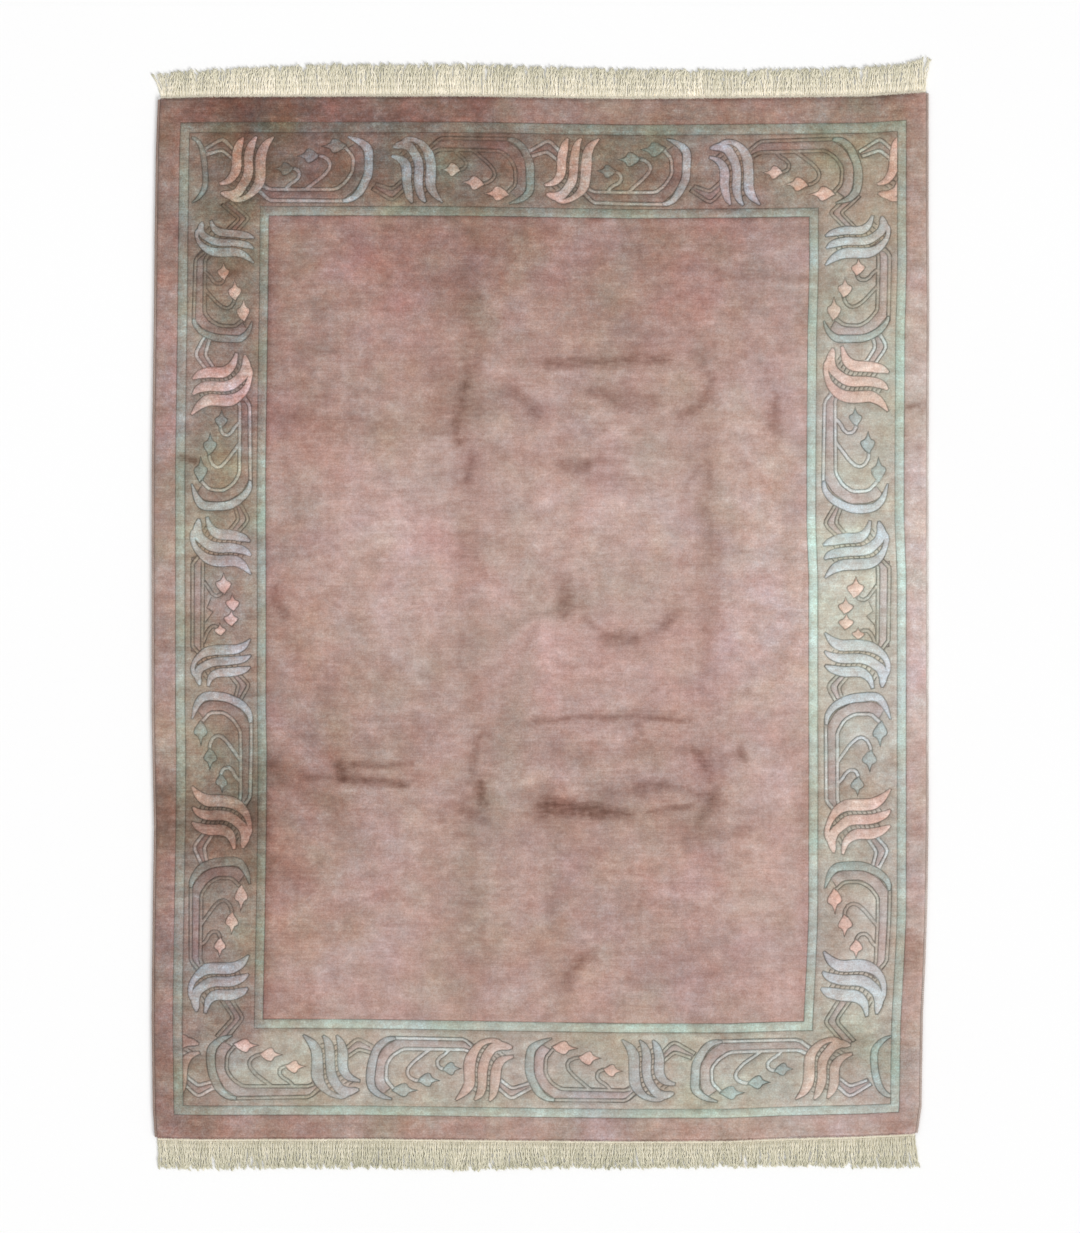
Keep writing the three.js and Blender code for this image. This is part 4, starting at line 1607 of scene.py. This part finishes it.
def cord_wool(colours):
    """Wool yarn wound round the side cords."""
    shader = Shader("wound_wool")
    uneven = shader.noises((0.12, 9, (1, 1, 1), 3.0), (0.12, 160, (1, 0.3, 1), 3.0))
    # The cords carry the sides' painted light and shade
    colour = shader.toned((*colours.side_cord,), shader.math("ADD", shader.attribute("shade"), uneven))
    shader.bump(shader.noise(900, (0.3, 1, 1), 2.0, 0.7), 0.2 * MM, 0.6)
    return shader.finish(colour, roughness=0.9, sheen_weight=0.15, sheen_roughness=0.5)


def cotton(colours):
    """Undyed cotton, a little soiled in places."""
    shader = Shader("undyed_cotton")
    soil = shader.noises(
        (0.06, 6, (1, 1, 1), 3.0),
        (0.07, 260, (1, 0.12, 1), 2.0),
        (0.10, 75, (1, 1, 1), 3.0),
    )
    tone = shader.math("ADD", shader.attribute("shade"), soil)
    colour = shader.toned((*colours.cotton,), tone, (1.05, 1.0, 1.2))
    shader.bump(shader.noise(1200, (1, 0.25, 1), 2.0, 0.7), 0.15 * MM, 0.6)
    return shader.finish(colour, roughness=0.88, sheen_weight=0.1, sheen_roughness=0.4)


def floor_paint(colours):
    """Matt pale paint with a faint unevenness."""
    shader = Shader("studio_floor")
    colour = shader.toned((*colours.floor,), shader.noises((0.004, 0.8)))
    return shader.finish(colour, roughness=0.9)


def shared(name, make):
    """A material by name, made once."""
    return bpy.data.materials.get(name) or make()


def add_piece(name, mesh, material, node=None):
    """Shows a mesh as a piece of the rug."""
    piece = mesh_object(name, mesh)
    mesh.materials.clear()
    mesh.materials.append(material)
    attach(piece, BODY)
    if node:
        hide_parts(node)
    return piece


# Operators


class RUG_OT_side_cords(bpy.types.Operator):
    """Make the overcast cord down each side"""

    bl_idname = "rug.side_cords"
    bl_label = "Side Cords"

    def execute(self, context):
        scene = context.scene
        wool = shared("wound_wool", lambda: cord_wool(scene.rug_colours))
        for side, hand in (("left", -1), ("right", 1)):
            mesh = side_cord_mesh(hand, side, scene.rug_sizes)
            add_piece(f"side_cord_{side}", mesh, wool, f"selvedge_{side}")
        return {"FINISHED"}


class RUG_OT_fringes(bpy.types.Operator):
    """Make the woven strip and the loose cotton fringe at each end"""

    bl_idname = "rug.fringes"
    bl_label = "Fringes"

    def execute(self, context):
        scene = context.scene
        thread = shared("undyed_cotton", lambda: cotton(scene.rug_colours))
        for side, end in (("bottom", -1), ("top", 1)):
            strands = fringe_mesh(end, side, scene.rug_sizes)
            add_piece(f"fringe_cotton_{side}", strands, thread, f"fringe_{side}")
            add_piece(f"woven_end_{side}", woven_end_mesh(end, side, scene.rug_sizes), thread)
        return {"FINISHED"}


class RUG_OT_cloth(bpy.types.Operator):
    """Make the knotted cloth with its carved pattern, and the tufts along its two ends"""

    bl_idname = "rug.cloth"
    bl_label = "Knotted Cloth"

    def execute(self, context):
        scene = context.scene
        sizes, colours = scene.rug_sizes, scene.rug_colours
        wool = shared("carved_pile", lambda: pile_wool(sizes))
        cloth = add_piece("rug_cloth", cloth_mesh(border_motifs(), colours), wool, "rug_pile")
        for side, end in (("bottom", -1), ("top", 1)):
            mesh = pile_end_mesh(end, side, sizes, colours)
            add_piece(f"pile_end_{side}", mesh, wool)
        return {"FINISHED"}


class RUG_OT_stage(bpy.types.Operator):
    """Make the floor, the lights and the camera straight above the rug"""

    bl_idname = "rug.stage"
    bl_label = "Studio Stage"

    def execute(self, context):
        scene = context.scene
        self.add_floor(scene)
        self.add_lights(scene)
        self.add_camera(scene)
        scene.view_settings.view_transform = "Standard"
        return {"FINISHED"}

    def add_floor(self, scene):
        shaped = bmesh.new()
        bmesh.ops.create_grid(shaped, x_segments=1, y_segments=1, size=FLOOR_REACH)
        bmesh.ops.translate(shaped, verts=shaped.verts[:], vec=(0, 0, -FLOOR_DROP))
        mesh = finished(shaped, "studio_floor")
        mesh.materials.append(floor_paint(scene.rug_colours))
        mesh_object("studio_floor", mesh)

    def add_lights(self, scene):
        world = bpy.data.worlds.new("studio_air")
        world.use_nodes = True
        air = world.node_tree.nodes["Background"].inputs
        air["Color"].default_value = (1, 1, 1, 1)
        air["Strength"].default_value = AIR_LIGHT
        scene.world = world
        for name, place, power, width in SUNS:
            lamp = bpy.data.lights.new(name, "SUN")
            lamp.energy = power
            lamp.angle = math.radians(width)
            light = bpy.data.objects.new(name, lamp)
            light.location = place
            light.rotation_euler = Vector(place).to_track_quat("Z", "Y").to_euler()
            scene.collection.objects.link(light)

    def add_camera(self, scene):
        lens = bpy.data.cameras.new("camera")
        lens.sensor_fit = "HORIZONTAL"
        lens.sensor_width = SENSOR
        lens.lens = SENSOR * CAMERA_HEIGHT / VIEW_WIDTH
        camera = bpy.data.objects.new("camera", lens)
        camera.location = (*CAMERA_OVER, CAMERA_HEIGHT)
        scene.collection.objects.link(camera)
        scene.camera = camera


OPERATORS = (RUG_OT_stage, RUG_OT_side_cords, RUG_OT_fringes, RUG_OT_cloth)


class RUG_PT_panel(bpy.types.Panel):
    """The rug's steps, in the order in which they are run"""

    bl_label = "Knotted Rug"
    bl_idname = "RUG_PT_panel"
    bl_space_type = "VIEW_3D"
    bl_region_type = "UI"
    bl_category = "Rug"

    def draw(self, context):
        for operator in OPERATORS:
            self.layout.operator(operator.bl_idname)
        for group in (context.scene.rug_sizes, context.scene.rug_colours):
            box = self.layout.box()
            for name in group.__annotations__:
                box.prop(group, name)


CLASSES = (RugColours, RugSizes, *OPERATORS, RUG_PT_panel)


def register():
    for cls in CLASSES:
        bpy.utils.register_class(cls)
    bpy.types.Scene.rug_colours = PointerProperty(type=RugColours)
    bpy.types.Scene.rug_sizes = PointerProperty(type=RugSizes)


def unregister():
    del bpy.types.Scene.rug_sizes
    del bpy.types.Scene.rug_colours
    for cls in reversed(CLASSES):
        bpy.utils.unregister_class(cls)


def main():
    """Makes the whole rug."""
    register()
    bpy.ops.rug.stage()
    bpy.ops.rug.side_cords()
    bpy.ops.rug.fringes()
    bpy.ops.rug.cloth()


if __name__ == "__main__":
    main()
